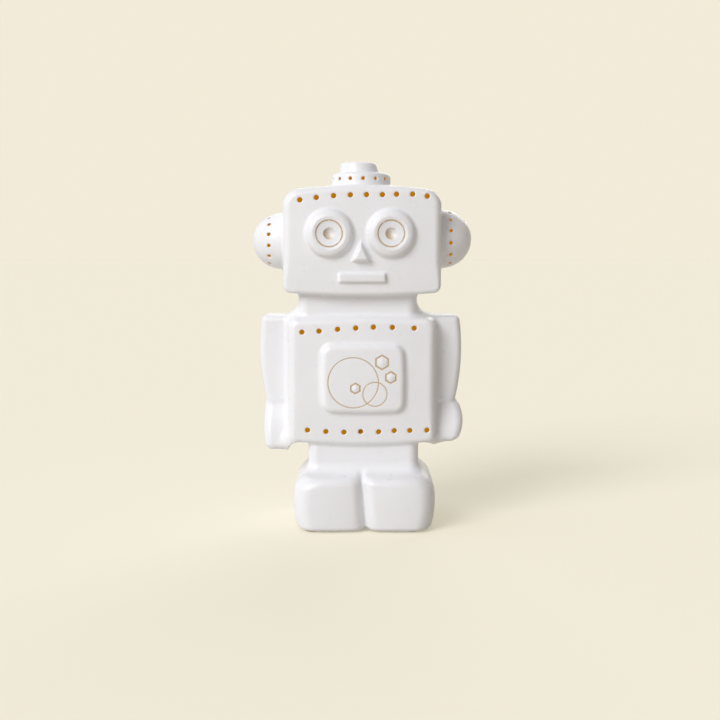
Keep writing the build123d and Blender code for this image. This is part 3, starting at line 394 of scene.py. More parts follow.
@dataclass(frozen=True)
class Beacon:
    """The beacon on the head: a drum with a rounded shoulder and a smaller cap, a little askew."""

    centre: tuple[float, float] = (-0.5, 5.0)
    radius: float = 23.0
    top_radius: float = 22.3
    root: float = 246.0
    shoulder: float = 271.7
    cap_radius: float = 15.5
    cap_top_radius: float = 13.9
    top: float = 279.8
    hole_z: float = 266.9
    first_hole: float = 0.06
    drills: DrillRing = DrillRing(21.0, 7.0)
    foot: float = 263.0
    skew_foot: float = 264.0
    skew_reach: float = 16.0
    drum_rounding: float = 2.8
    cap_rounding: float = 2.0
    cap_fillet: float = 1.4
    skew: float = 0.16
    drum_share: float = 0.3

    def distance(self, at: Places) -> Grid:
        """Approximate signed distance to drum and cap.

        Args:
            at: the places.

        Returns:
            Negative inside, positive outside.
        """
        x, y, z = at
        skew = self.skew * np.clip(z - self.skew_foot, 0.0, self.skew_reach)
        r = length(x - self.centre[0] + self.drum_share * skew, y - self.centre[1])
        rise = np.clip((z - self.foot) / (self.shoulder - self.foot), 0.0, 1.0)
        drum = rounded_pair(r - (self.radius + (self.top_radius - self.radius) * rise),
                            z - self.shoulder, self.drum_rounding)
        climb = np.clip((z - self.shoulder) / (self.top - self.shoulder), 0.0, 1.0)
        r = length(x - self.centre[0] + skew, y - self.centre[1])
        cap = rounded_pair(r - (self.cap_radius + (self.cap_top_radius - self.cap_radius) * climb),
                           z - self.top, self.cap_rounding)
        return np.maximum(smooth_min(drum, cap, self.cap_fillet), self.root - z)

    def ring(self, at: Places) -> Grid:
        """Distance to the drills of the ring of holes.

        Args:
            at: the places.

        Returns:
            Negative inside a drill.
        """
        x, y, z = at
        dx, dy = x - self.centre[0], y - self.centre[1]
        turn = np.arctan2(dx, -dy) - self.first_hole
        return self.drills.distance(turn, length(dx, dy), z - self.hole_z)


@dataclass(frozen=True)
class Eye:
    """A round cushion with a dished middle, a scribed circle and a thumbed pupil."""

    x: float
    z: float = 224.8
    radius: float = 17.9
    height: float = 5.2
    dish: float = 2.0
    circle: float = 9.75
    pupil: float = 4.3
    pupil_depth: float = 2.3
    line: float = 0.48
    line_height: float = 0.1
    fillet: float = 0.8

    def _local(self, block: CastBlock, at: Places) -> tuple[Grid, Grid]:
        """Distance from the eye's axis, and height above the face."""
        x, y, z = at
        return length(x - self.x, z - self.z), block.front(x, z) - y

    def _floor(self, off_axis: Grid) -> Grid:
        """Height of the dished middle."""
        share = np.clip(off_axis / (self.radius - self.height), 0.0, 1.0)
        return self.height - self.dish * (1.0 - share * share)

    def distance(self, block: CastBlock, at: Places) -> Grid:
        """Approximate signed distance to the cushion.

        Args:
            block: the block whose front it stands on.
            at: the places.

        Returns:
            Negative inside, positive outside.
        """
        off_axis, height = self._local(block, at)
        rim = self.radius - self.height
        ring = length(off_axis - rim, height) - self.height
        disc = np.maximum(off_axis - rim, height - self._floor(off_axis))
        return np.maximum(smooth_min(ring, disc, self.fillet), -RELIEF_ROOT - height)

    def engraving(self, block: CastBlock, at: Places) -> Grid:
        """Distance to what is scribed and thumbed into the cushion.

        Args:
            block: the block whose front it stands on.
            at: the places.

        Returns:
            Negative where clay was taken away.
        """
        off_axis, height = self._local(block, at)
        groove = length(off_axis - self.circle, height - self._floor(off_axis) - self.line_height) - self.line
        ball = (self.pupil ** 2 + self.pupil_depth ** 2) / (2 * self.pupil_depth)
        middle = self.height - self.dish - self.pupil_depth + ball
        pupil = length(off_axis, height - middle) - ball
        return np.minimum(groove, pupil)


@dataclass(frozen=True)
class Nose:
    """A three-cornered wedge that narrows towards its flat front."""

    corners: tuple[tuple[float, float], ...] = ((-8.3, 203.8), (-0.8, 219.6), (6.9, 203.8))
    height: float = 6.0
    shrink: float = 0.24
    soft: float = 1.5
    steepness: float = 1.03

    def distance(self, block: CastBlock, at: Places) -> Grid:
        """Approximate signed distance to the wedge.

        Args:
            block: the block whose front it stands on.
            at: the places.

        Returns:
            Negative inside, positive outside.
        """
        x, y, z = at
        height = block.front(x, z) - y
        wedge = height - self.height
        for number, (ax, az) in enumerate(self.corners):
            bx, bz = self.corners[(number + 1) % len(self.corners)]
            long = math.hypot(bx - ax, bz - az)
            outward = ((az - bz) * (x - ax) + (bx - ax) * (z - az)) / long
            flank = (outward + self.shrink * np.maximum(height, -SLOPE_ROOT)) / self.steepness
            wedge = smooth_max(wedge, flank, self.soft)
        return np.maximum(wedge, -RELIEF_ROOT - height)


@dataclass(frozen=True)
class Plate:
    """A raised plate with soft, sloping flanks, used for the mouth and the chest panel."""

    centre: tuple[float, float]
    half: tuple[float, float]
    corner: float
    height: float
    slope: float
    soft: float
    bow: tuple[float, float] = (0.0, 0.0)
    lean: float = 0.0

    def distance(self, block: CastBlock, at: Places) -> Grid:
        """Approximate signed distance to the plate.

        Args:
            block: the block whose front it stands on.
            at: the places.

        Returns:
            Negative inside, positive outside.
        """
        x, y, z = at
        height = block.front(x, z) - y
        dz = z - self.centre[1]
        dx = x - self.centre[0] - self.lean * dz
        side = np.abs(dx) - self.half[0] + self.bow[0] * squared_share(dz, self.half[1], BELLY_LIMIT)
        end = np.abs(dz) - self.half[1] + self.bow[1] * squared_share(dx, self.half[0], BELLY_LIMIT)
        outline = rounded_pair(side, end, self.corner)
        tilt = math.tan(math.radians(self.slope))
        flank = (outline + tilt * np.maximum(height, -SLOPE_ROOT)) / math.hypot(1.0, tilt)
        return np.maximum(smooth_max(flank, height - self.height, self.soft), -RELIEF_ROOT - height)


@dataclass(frozen=True)
class Scribing:
    """Circles and hexagon nuts scribed into the chest panel, as (x, z, radius)."""

    circles: tuple[Point, ...] = ((-6.6, 113.2, 19.0), (9.8, 104.5, 9.1))
    nuts: tuple[Point, ...] = ((15.2, 128.6, 5.3), (21.8, 117.2, 4.3), (-4.9, 108.9, 3.9))
    plate_height: float = 4.0
    boss: float = 0.7
    boss_share: float = 0.62
    circle_line: float = 0.42
    circle_line_height: float = 0.1
    nut_line: float = 0.58
    nut_line_height: float = 0.12
    across_flats: float = 0.87

    def bosses(self, block: CastBlock, at: Places) -> Grid:
        """Distance to the low round swellings inside the nuts.

        Args:
            block: the block whose front it stands on.
            at: the places.

        Returns:
            Negative inside, positive outside.
        """
        x, y, z = at
        above = block.front(x, z) - y - self.plate_height
        swellings = np.full(np.broadcast(*at).shape, FAR, np.float32)
        for cx, cz, radius in self.nuts:
            reach = self.boss_share * radius
            ball = (reach ** 2 + self.boss ** 2) / (2 * self.boss)
            off = length(x - cx, z - cz)
            swellings = np.minimum(swellings, length(off, above - self.boss + ball) - ball)
        return swellings

    def distance(self, block: CastBlock, at: Places) -> Grid:
        """Distance to the scribed lines.

        Args:
            block: the block whose front it stands on.
            at: the places.

        Returns:
            Negative where clay was taken away.
        """
        x, y, z = at
        above = block.front(x, z) - y - self.plate_height
        lines = np.full(np.broadcast(*at).shape, FAR, np.float32)
        for cx, cz, radius in self.circles:
            ring = np.abs(length(x - cx, z - cz) - radius)
            lines = np.minimum(lines, length(ring, above - self.circle_line_height) - self.circle_line)
        for cx, cz, radius in self.nuts:
            dx, dz = x - cx, z - cz
            flat = length(dx, dz) * np.cos(nearest_turn(np.arctan2(dz, dx), 6))
            groove = np.abs(flat - radius * self.across_flats)
            lines = np.minimum(lines, length(groove, above - self.nut_line_height) - self.nut_line)
        return lines


@dataclass(frozen=True)
class FigureForm:
    """The whole porcelain figure as distance fields, in millimetres."""

    wall: float = 4.0
    head: CastBlock = CastBlock(
        centre=(0.0, 5.0, 220.5), half=(61.9, 41.0, 42.6), low_corner=5.0, high_corner=11.5, edge=5.0,
        draft_side=3.4, draft_top=2.6, arch=4.4, bow=2.4, crown=3.4, low_tightness=2.2, draft_low=0.9)
    torso: CastBlock = CastBlock(
        centre=(0.0, 5.0, 113.9), half=(60.8, 38.0, 50.2), low_corner=4.6, high_corner=7.0, edge=5.0,
        draft_side=6.2, draft_top=2.2, arch=1.6, bow=3.0, crown=3.2, low_tightness=1.0, draft_low=0.9)
    neck: Prism = Prism((-3.3, 5.0, 170.0), (45.3, 29.0, 35.0), 8.0)
    hips: Prism = Prism((1.0, 5.0, 57.0), (42.3, 32.0, 39.0), 8.0)
    feet: tuple[Foot, ...] = (Foot(-1, -1.6, 52.2), Foot(1, 1.0, 55.6))
    arms: tuple[Arm, ...] = (Arm(-1, hand_swell=1.4, hand_low=60.0, hand_reach=76.0, crease=6.0),
                             Arm(1, hand_swell=4.6, hand_low=66.0, hand_reach=78.2, crease=3.0, width=77.0))
    ears: tuple[Ear, ...] = (Ear(-1, z=219.7, ring_x=71.2, first_hole=-10.5),
                             Ear(1, z=221.3, ring_x=67.8, first_hole=-8.5, radius=22.4))
    beacon: Beacon = Beacon()
    eyes: tuple[Eye, ...] = (Eye(-24.4), Eye(21.7))
    nose: Nose = Nose()
    mouth: Plate = Plate((0.2, 192.0), (18.0, 3.9), corner=1.6, height=3.2, slope=18.0, soft=1.2)
    panel: Plate = Plate((0.9, 115.8), (32.3, 26.9), corner=8.0, height=4.0, slope=26.0, soft=2.8,
                         bow=(1.1, 0.9), lean=-0.012)
    scribing: Scribing = Scribing()
    brow_holes: tuple[tuple[float, float], ...] = (
        (-46.3, 249.8), (-34.0, 251.5), (-21.1, 252.8), (-8.7, 253.4), (3.3, 253.6),
        (15.1, 253.6), (25.6, 253.9), (37.6, 254.0), (48.5, 252.5))
    shoulder_holes: tuple[tuple[float, float], ...] = (
        (-45.4, 151.0), (-32.4, 151.8), (-18.4, 153.2), (-4.7, 154.1), (8.6, 154.8),
        (22.9, 154.6), (39.4, 154.0))
    hip_holes: tuple[tuple[float, float], ...] = (
        (-41.5, 76.3), (-27.4, 75.3), (-13.7, 74.9), (-1.1, 75.4), (12.6, 75.2),
        (24.5, 76.0), (36.4, 76.0), (49.4, 76.2))
    row_hole_radius: float = 1.9
    row_drill_depth: float = 16.0
    well_radius: float = 34.0
    well_top: float = 16.0
    floor_top: float = 21.0
    bore_radius: float = 23.0
    channel_half: float = 4.5
    channel_top: float = 9.7
    channel_start: float = 28.0
    channel_flat: float = 0.1
    joint: float = 3.0
    arm_joint: float = 4.0
    hand_joint: float = 9.0
    hip_joint: float = 8.0
    head_joint: float = 2.0
    neck_flare: float = 10.0
    soft_relief: float = 2.4
    crisp_relief: float = 1.2
    boss_joint: float = 0.6
    scribed_edge: float = 0.35
    hole_edge: float = 0.8
    cut_edge: float = 1.0
    hollow_edge: float = 2.5
    wrist: tuple[float, float] = (62.0, 78.0)
    flare_middle: tuple[float, float] = (-3.0, 5.0)
    flare_side: tuple[float, float] = (36.0, 47.0)
    flare_depth: tuple[float, float] = (16.0, 31.0)

    def clay(self, at: Places) -> Grid:
        """The plain outside, before relief, engraving and piercing.

        Args:
            at: the places.

        Returns:
            Negative inside, positive outside.
        """
        x, y, z = at
        arms = np.minimum(self.arms[0].distance(at), self.arms[1].distance(at))
        below = 1.0 - ramp(z, *self.wrist)
        body = smooth_min(self.torso.distance(at), arms, self.arm_joint + self.hand_joint * below)
        flank = ramp(np.abs(x - self.flare_middle[0]), *self.flare_side)
        flank = flank * (1.0 - ramp(np.abs(y - self.flare_middle[1]), *self.flare_depth))
        flare = self.arm_joint + self.neck_flare * flank
        body = smooth_min(body, self.neck.distance(at), flare)
        feet = smooth_min(self.feet[0].distance(at), self.feet[1].distance(at), self.joint)
        low = smooth_min(feet, self.hips.distance(at), self.hip_joint)
        body = smooth_min(body, low, self.joint)
        head = self.head.distance(at)
        for ear in self.ears:
            head = smooth_min(head, ear.distance(at), self.head_joint)
        head = smooth_min(head, self.beacon.distance(at), self.head_joint)
        return smooth_min(body, head, self.joint)

    def relief(self, at: Places) -> Grid:
        """The outside with eyes, nose, mouth and chest panel.

        Args:
            at: the places.

        Returns:
            Negative inside, positive outside.
        """
        skin = self.clay(at)
        for eye in self.eyes:
            skin = smooth_min(skin, eye.distance(self.head, at), self.soft_relief)
        skin = smooth_min(skin, self.nose.distance(self.head, at), self.crisp_relief)
        skin = smooth_min(skin, self.mouth.distance(self.head, at), self.crisp_relief)
        skin = smooth_min(skin, self.panel.distance(self.torso, at), self.soft_relief)
        return smooth_min(skin, self.scribing.bosses(self.torso, at), self.boss_joint)

    def engraving(self, at: Places) -> Grid:
        """Distance to everything scribed or thumbed into the front.

        Args:
            at: the places.

        Returns:
            Negative where clay was taken away.
        """
        cuts = self.scribing.distance(self.torso, at)
        for eye in self.eyes:
            cuts = np.minimum(cuts, eye.engraving(self.head, at))
        return cuts

    def holes(self, at: Places) -> Grid:
        """Distance to every drill that pierced the leather-hard clay.

        Args:
            at: the places.

        Returns:
            Negative inside a drill.
        """
        x, y, z = at
        drills = np.full(np.broadcast(*at).shape, FAR, np.float32)
        for hx, hz in self.brow_holes + self.shoulder_holes + self.hip_holes:
            drills = np.minimum(drills, length(x - hx, z - hz) - self.row_hole_radius)
        drills = np.maximum(drills, y + self.row_drill_depth)
        drills = np.minimum(drills, self.beacon.ring(at))
        for ear in self.ears:
            drills = np.minimum(drills, ear.ring(at))
        return drills

    def underside(self, at: Places, grow: float) -> Grid:
        """The well and the cord channel, made wider by `grow`.

        Args:
            at: the places.
            grow: the added width, in millimetres.

        Returns:
            Negative in the well or the channel.
        """
        x, y, z = at
        top = self.floor_top if grow > 0 else self.well_top
        well = np.maximum(length(x, y) - self.well_radius - grow, z - top)
        channel = rounded_pair(np.abs(x) - self.channel_half - grow, z - self.channel_top - grow,
                               self.channel_half - self.channel_flat)
        return np.minimum(well, np.maximum(channel, self.channel_start - y))

    def hollow(self, at: Places) -> Grid:
        """The space inside the casting."""
        inside = self.clay(at) + self.wall
        return smooth_max(inside, -self.underside(at, self.wall), self.hollow_edge)

    def coarse(self, at: Places) -> Grid:
        """The finished casting without its finest engraving."""
        return self._pierced(self.relief(at), at)

    def finished(self, at: Places) -> Grid:
        """The finished casting."""
        skin = smooth_max(self.relief(at), -self.engraving(at), self.scribed_edge)
        return self._pierced(skin, at)

    def _pierced(self, skin: Grid, at: Places) -> Grid:
        """Hollow out a skin, pierce it and open its underside.

        Args:
            skin: distance to the outside.
            at: the places.

        Returns:
            Negative inside, positive outside.
        """
        x, y, z = at
        shell = smooth_max(skin, -self.hollow(at), self.cut_edge)
        shell = smooth_max(shell, -self.holes(at), self.hole_edge)
        shell = smooth_max(shell, -self.underside(at, 0.0), self.cut_edge)
        bore = np.maximum(length(x, y) - self.bore_radius, z - self.floor_top - self.wall)
        return smooth_max(shell, -bore, self.cut_edge)


# ============================================================ turning a field into a mesh
@dataclass(frozen=True)
class SurfaceNet:
    """Meshes the zero surface of a distance field on a regular grid."""

    low: Point
    high: Point
    step: float
    rounds: int = 12
    nudge: float = 0.02

    def mesh(self, distance: Field) -> tuple[Grid, Grid]:
        """Find the surface.

        Args:
            distance: the field.

        Returns:
            Vertices (n, 3) and triangles (m, 3), wound so that their normals point out.
        """
        axes = [np.arange(lo, hi + self.step, self.step) for lo, hi in zip(self.low, self.high)]
        x, y, z = (a.astype(np.float32) for a in np.meshgrid(*axes, indexing="ij", sparse=True))
        values = self._clear(distance(Places(x, y, z)).astype(np.float32))
        inside = values < 0
        shape = tuple(n - 1 for n in values.shape)
        total = np.zeros(shape + (3,), np.float32)
        count = np.zeros(shape, np.float32)
        for axis in range(3):
            self._add_crossings(values, axis, total, count)
        active = count > 0
        index = np.full(shape, -1, np.int64)
        index[active] = np.arange(int(active.sum()))
        local = total[active] / count[active][:, None]
        vertices = np.array(self.low) + (np.argwhere(active) + local) * self.step
        quads = np.concatenate([self._quads(inside, index, axis) for axis in range(3)])
        return vertices, self._split(vertices, quads)

    @staticmethod
    def _ends(values: Grid, axis: int) -> tuple[Grid, Grid]:
        """The two ends of every grid line along `axis`.

        Args:
            values: numbers on the grid.
            axis: 0, 1 or 2 for x, y or z.

        Returns:
            The values at the low ends, and those at the high ends.
        """
        head, tail = [slice(None)] * 3, [slice(None)] * 3
        head[axis], tail[axis] = slice(0, -1), slice(1, None)
        return values[tuple(head)], values[tuple(tail)]

    @staticmethod
    def _windows(values: Grid, axis: int) -> list[Grid]:
        """The four corners of every grid square across `axis`, in the order of SHIFTS.

        Args:
            values: numbers on the grid.
            axis: 0, 1 or 2 for x, y or z.

        Returns:
            Four arrays, one for each corner.
        """
        first, second = [a for a in range(3) if a != axis]
        found = []
        for shift_first, shift_second in SHIFTS:
            window = [slice(None)] * 3
            window[first] = slice(shift_first, values.shape[first] - 1 + shift_first)
            window[second] = slice(shift_second, values.shape[second] - 1 + shift_second)
            found.append(values[tuple(window)])
        return found

    def _clear(self, values: Grid) -> Grid:
        """Nudge values until no grid square lies in and out crosswise, where sheets would touch.

        Args:
            values: the field's values on the grid.

        Returns:
            The same array, changed in a few places.
        """
        for _ in range(self.rounds):
            nudged = 0
            for axis in range(3):
                first, second = [a for a in range(3) if a != axis]
                a, b, c, d = (corner < 0 for corner in self._windows(values, axis))
                for place in np.argwhere((a == d) & (b == c) & (a != b)):
                    spots = []
                    for shift_first, shift_second in SHIFTS:
                        spot = place.copy()
                        spot[first] += shift_first
                        spot[second] += shift_second
                        spots.append(tuple(spot))
                    nearest = min(spots, key=lambda spot: abs(values[spot]))
                    values[nearest] = self.nudge if values[nearest] < 0 else -self.nudge
                    nudged += 1
            if not nudged:
                break
        return values

    def _add_crossings(self, values: Grid, axis: int, total: Grid, count: Grid) -> None:
        """Add where the surface crosses the grid lines along `axis` to the four cells round each.

        Args:
            values: the field's values on the grid.
            axis: 0, 1 or 2 for x, y or z.
            total: sums of crossings for each cell, added to.
            count: how many crossings each cell has, added to.
        """
        start, end = self._ends(values, axis)
        crossed = (start < 0) != (end < 0)
        share = np.where(crossed, start / np.where(crossed, start - end, 1.0), 0.0)
        first, second = [a for a in range(3) if a != axis]
        windows = zip(SHIFTS, self._windows(crossed, axis), self._windows(share, axis))
        for (shift_first, shift_second), hit, part in windows:
            count += hit
            total[..., axis] += part
            total[..., first] += hit * shift_first
            total[..., second] += hit * shift_second

    def _quads(self, inside: Grid, index: Grid, axis: int) -> Grid:
        """The quads across the grid lines along `axis` where the field changes sign.

        Args:
            inside: a flag for each grid point.
            index: the vertex number of each cell.
            axis: 0, 1 or 2 for x, y or z.

        Returns:
            Vertex numbers, (k, 4).
        """
        first, second = (axis + 1) % 3, (axis + 2) % 3
        head, tail = self._ends(inside, axis)
        found = []
        for start, turn in ((head & ~tail, 1), (~head & tail, -1)):
            lines = np.argwhere(start)
            corners = []
            for back_first, back_second in ((1, 1), (0, 1), (0, 0), (1, 0)):
                cell = lines.copy()
                cell[:, first] -= back_first
                cell[:, second] -= back_second
                corners.append(index[cell[:, 0], cell[:, 1], cell[:, 2]])
            found.append(np.stack(corners[::turn], axis=1))
        return np.concatenate(found)

    @staticmethod
    def _split(vertices: Grid, quads: Grid) -> Grid:
        """Cut each quad along its shorter diagonal.

        Args:
            vertices: vertices, (n, 3).
            quads: vertex numbers, (k, 4).

        Returns:
            Vertex numbers of triangles, (2k, 3).
        """
        p = vertices[quads]
        one_way, other_way = (np.linalg.norm(p[:, a] - p[:, a + 2], axis=1) for a in (0, 1))
        even = (one_way <= other_way)[:, None]
        one = np.where(even, quads[:, [0, 1, 2]], quads[:, [0, 1, 3]])
        two = np.where(even, quads[:, [0, 2, 3]], quads[:, [1, 2, 3]])
        return np.concatenate([one, two])


def probe(points: Grid, distance: Field) -> tuple[Grid, Grid]:
    """Sample a field about each point.

    Args:
        points: places, (n, 3), in millimetres.
        distance: the field.

    Returns:
        The field's value and its gradient at each point.
    """
    places = [Places(*np.ascontiguousarray((points + PROBE * corner).T)) for corner in CORNERS]
    samples = np.stack([distance(at) for at in places])
    slope = np.einsum("kn,kc->nc", samples, CORNERS) / (4 * PROBE)
    return samples.mean(axis=0), slope


def settle(points: Grid, distance: Field, rounds: int) -> Grid:
    """Move points onto the zero surface of a field, along its gradient.

    Args:
        points: vertices, (n, 3), in millimetres.
        distance: the field.
        rounds: how many steps to take.

    Returns:
        The moved points.
    """
    for _ in range(rounds):
        here, slope = probe(points, distance)
        steep = np.maximum((slope ** 2).sum(axis=1), FLATTEST)
        points = points - np.clip(here / steep, -LONGEST_STEP, LONGEST_STEP)[:, None] * slope
    return points.astype(np.float32)


def normals_of(points: Grid, distance: Field) -> Grid:
    """The unit normal of the field's surface at each point."""
    slope = probe(points, distance)[1]
    return slope / np.maximum(np.sqrt((slope ** 2).sum(axis=1)), TINY)[:, None]


def relax(points: Grid, triangles: Grid, share: float) -> Grid:
    """Move each point towards the middle of its neighbours.

    Args:
        points: vertices, (n, 3), in millimetres.
        triangles: vertex numbers, (m, 3).
        share: how much of the way to go.

    Returns:
        The moved points.
    """
    starts = triangles.ravel()
    ends = np.roll(triangles, -1, axis=1).ravel()
    both, other = np.concatenate([starts, ends]), np.concatenate([ends, starts])
    count = np.bincount(both, minlength=len(points))
    total = np.stack([np.bincount(both, points[other, axis], len(points)) for axis in range(3)], axis=1)
    return (points + share * (total / np.maximum(count, 1)[:, None] - points)).astype(np.float32)


def refine(points: Grid, triangles: Grid, chosen: Grid) -> tuple[Grid, Grid]:
    """Cut chosen triangles in four, and their neighbours so that no gap opens.

    Args:
        points: vertices, (n, 3).
        triangles: vertex numbers, (m, 3).
        chosen: a flag for each triangle.

    Returns:
        The new vertices and triangles.
    """
    ends = np.stack([triangles, np.roll(triangles, -1, axis=1)], axis=2)
    keys = ends.min(axis=2) * len(points) + ends.max(axis=2)
    unique, number = np.unique(keys, return_inverse=True)
    number = number.reshape(keys.shape)
    marked = np.zeros(len(unique), bool)
    marked[number[chosen].ravel()] = True
    middle = np.full(len(unique), -1, np.int64)
    middle[marked] = len(points) + np.arange(int(marked.sum()))
    pair = unique[marked]
    added = (points[pair // len(points)] + points[pair % len(points)]) / 2
    cut = marked[number]
    mid = middle[number]
    made = [triangles[cut.sum(axis=1) == 0]]
    whole = cut.sum(axis=1) == 3
    t, m = triangles[whole], mid[whole]
    made += [np.stack(c, axis=1) for c in (
        (t[:, 0], m[:, 0], m[:, 2]), (m[:, 0], t[:, 1], m[:, 1]),
        (m[:, 2], m[:, 1], t[:, 2]), (m[:, 0], m[:, 1], m[:, 2]))]
    for turn in range(3):
        t, m, c = (np.roll(a, -turn, axis=1) for a in (triangles, mid, cut))
        one = c[:, 0] & ~c[:, 1] & ~c[:, 2]
        made += [np.stack([t[one, 0], m[one, 0], t[one, 2]], axis=1),
                 np.stack([m[one, 0], t[one, 1], t[one, 2]], axis=1)]
        two = c[:, 0] & c[:, 1] & ~c[:, 2]
        made += [np.stack([m[two, 0], t[two, 1], m[two, 1]], axis=1),
                 np.stack([t[two, 0], m[two, 0], m[two, 1]], axis=1),
                 np.stack([t[two, 0], m[two, 1], t[two, 2]], axis=1)]
    return np.concatenate([points, added]), np.concatenate(made)


# ============================================================ finishes
@dataclass
class NodeDesk:
    """A node tree being put together, with short ways to add and join its nodes."""

    tree: bpy.types.NodeTree

    def add(self, kind: str, **values: object) -> bpy.types.Node:
        """Add a node, and set its properties or the defaults of its inputs.

        Args:
            kind: the node's type name.
            **values: properties, or input names with _ for a space.

        Returns:
            The new node.
        """
        node = self.tree.nodes.new(kind)
        for key, value in values.items():
            if hasattr(node, key):
                setattr(node, key, value)
            else:
                node.inputs[key.replace("_", " ")].default_value = value
        return node

    def join(self, start: Socket, end: Socket) -> None:
        """Link two sockets."""
        self.tree.links.new(start, end)

    def between(self, source: Socket, low: float, high: float,
                span: tuple[float, float] = (0.3, 0.7)) -> Socket:
        """Bring a value's range, by default the middle of a noise, to run from `low` to `high`.

        Args:
            source: the value.
            low: the least that comes out.
            high: the most that comes out.
            span: the range that goes in.

        Returns:
            The scaled value.
        """
        scaled = self.add("ShaderNodeMapRange", From_Min=span[0], From_Max=span[1], To_Min=low, To_Max=high)
        self.join(source, scaled.inputs["Value"])
        return scaled.outputs["Result"]

    def mix(self, share: Socket, first: "Colour | Socket", second: "Colour | Socket") -> Socket:
        """A colour between two, each a colour or a socket.

        Args:
            share: how much of the second.
            first: a colour or a socket.
            second: a colour or a socket.

        Returns:
            The mixed colour.
        """
        blend = self.add("ShaderNodeMix", data_type="RGBA")
        self.join(share, blend.inputs["Factor"])
        for name, value in (("A", first), ("B", second)):
            socket = next(s for s in blend.inputs if s.name == name and s.type == "RGBA")
            if isinstance(value, Socket):
                self.join(value, socket)
            else:
                socket.default_value = (*value, 1.0)
        return next(s for s in blend.outputs if s.type == "RGBA")

    def by_ray(self, light: Socket, seen: Socket, out: bpy.types.Node) -> None:
        """Let camera, mirror and glass rays meet one shader, and all other rays another.

        Args:
            light: the shader that lights the lamp.
            seen: the shader that is seen directly.
            out: the tree's output node.
        """
        path = self.add("ShaderNodeLightPath")
        direct = path.outputs["Is Camera Ray"]
        for kind in ("Is Glossy Ray", "Is Transmission Ray"):
            either = self.add("ShaderNodeMath", operation="MAXIMUM")
            self.join(direct, either.inputs[0])
            self.join(path.outputs[kind], either.inputs[1])
            direct = either.outputs["Value"]
        choose = self.add("ShaderNodeMixShader")
        self.join(direct, choose.inputs["Fac"])
        self.join(light, choose.inputs[1])
        self.join(seen, choose.inputs[2])
        self.join(choose.outputs["Shader"], out.inputs["Surface"])


class MaterialDesk(NodeDesk):
    """A new material on the desk, with its Principled shader."""

    def __init__(self, name: str) -> None:
        """Start a material with a plain shader.

        Args:
            name: of the material.
        """
        self.material = bpy.data.materials.new(name)
        self.material.use_nodes = True
        super().__init__(self.material.node_tree)
        self.shader = next(n for n in self.tree.nodes if n.type == "BSDF_PRINCIPLED")

    def set(self, **values: object) -> None:
        """Set plain values on the shader's sockets, with _ for a space."""
        for key, value in values.items():
            self.shader.inputs[key.replace("_", " ")].default_value = value

    def noise(self, scale: float, detail: float, stretch: Point = (1.0, 1.0, 1.0)) -> Socket:
        """A noise in the object's own metres, `scale` waves to the metre.

        Args:
            scale: waves to the metre.
            detail: how many finer noises are added.
            stretch: a factor for each axis.

        Returns:
            The noise, around 0.5.
        """
        place = self.add("ShaderNodeTexCoord")
        sized = self.add("ShaderNodeMapping", Scale=stretch)
        cloud = self.add("ShaderNodeTexNoise", Scale=scale, Detail=detail)
        self.join(place.outputs["Object"], sized.inputs["Vector"])
        self.join(sized.outputs["Vector"], cloud.inputs["Vector"])
        return cloud.outputs["Fac"]

    def patches(self, scale: float, detail: float, first: Colour, second: Colour) -> Socket:
        """A colour that wanders between two in soft patches, `scale` waves to the metre."""
        return self.mix(self.between(self.noise(scale, detail), 0.0, 1.0), first, second)

    def paint(self, colour: Socket) -> None:
        """Give the shader its colour."""
        self.join(colour, self.shader.inputs["Base Color"])

    def bump(self, height: Socket, depth: float) -> None:
        """Lay a height under the shader's normal.

        Args:
            height: from 0 to 1.
            depth: what a height of 1 stands for, in metres.
        """
        bumps = self.add("ShaderNodeBump", Distance=depth)
        self.join(height, bumps.inputs["Height"])
        self.join(bumps.outputs["Normal"], self.shader.inputs["Normal"])


@dataclass(frozen=True)
class Finish:
    """A surface with its own grain: its colour, roughness and height all wander a little."""

    name: str
    colour: Colour
    second: Colour
    roughness: tuple[float, float]
    metallic: float = 0.0
    coat: float = 0.0
    grain: float = 900.0
    patch: float = 60.0
    depth: float = 0.00002
    stretch: Point = (1.0, 1.0, 1.0)

    def make(self) -> bpy.types.Material:
        """Put the material together.

        Returns:
            The material.
        """
        desk = MaterialDesk(self.name)
        grain = desk.noise(self.grain, 4.0, self.stretch)
        desk.paint(desk.patches(self.patch, 4.0, self.colour, self.second))
        desk.join(desk.between(grain, *self.roughness), desk.shader.inputs["Roughness"])
        desk.set(Metallic=self.metallic, Coat_Weight=self.coat)
        desk.bump(grain, self.depth)
        return desk.material


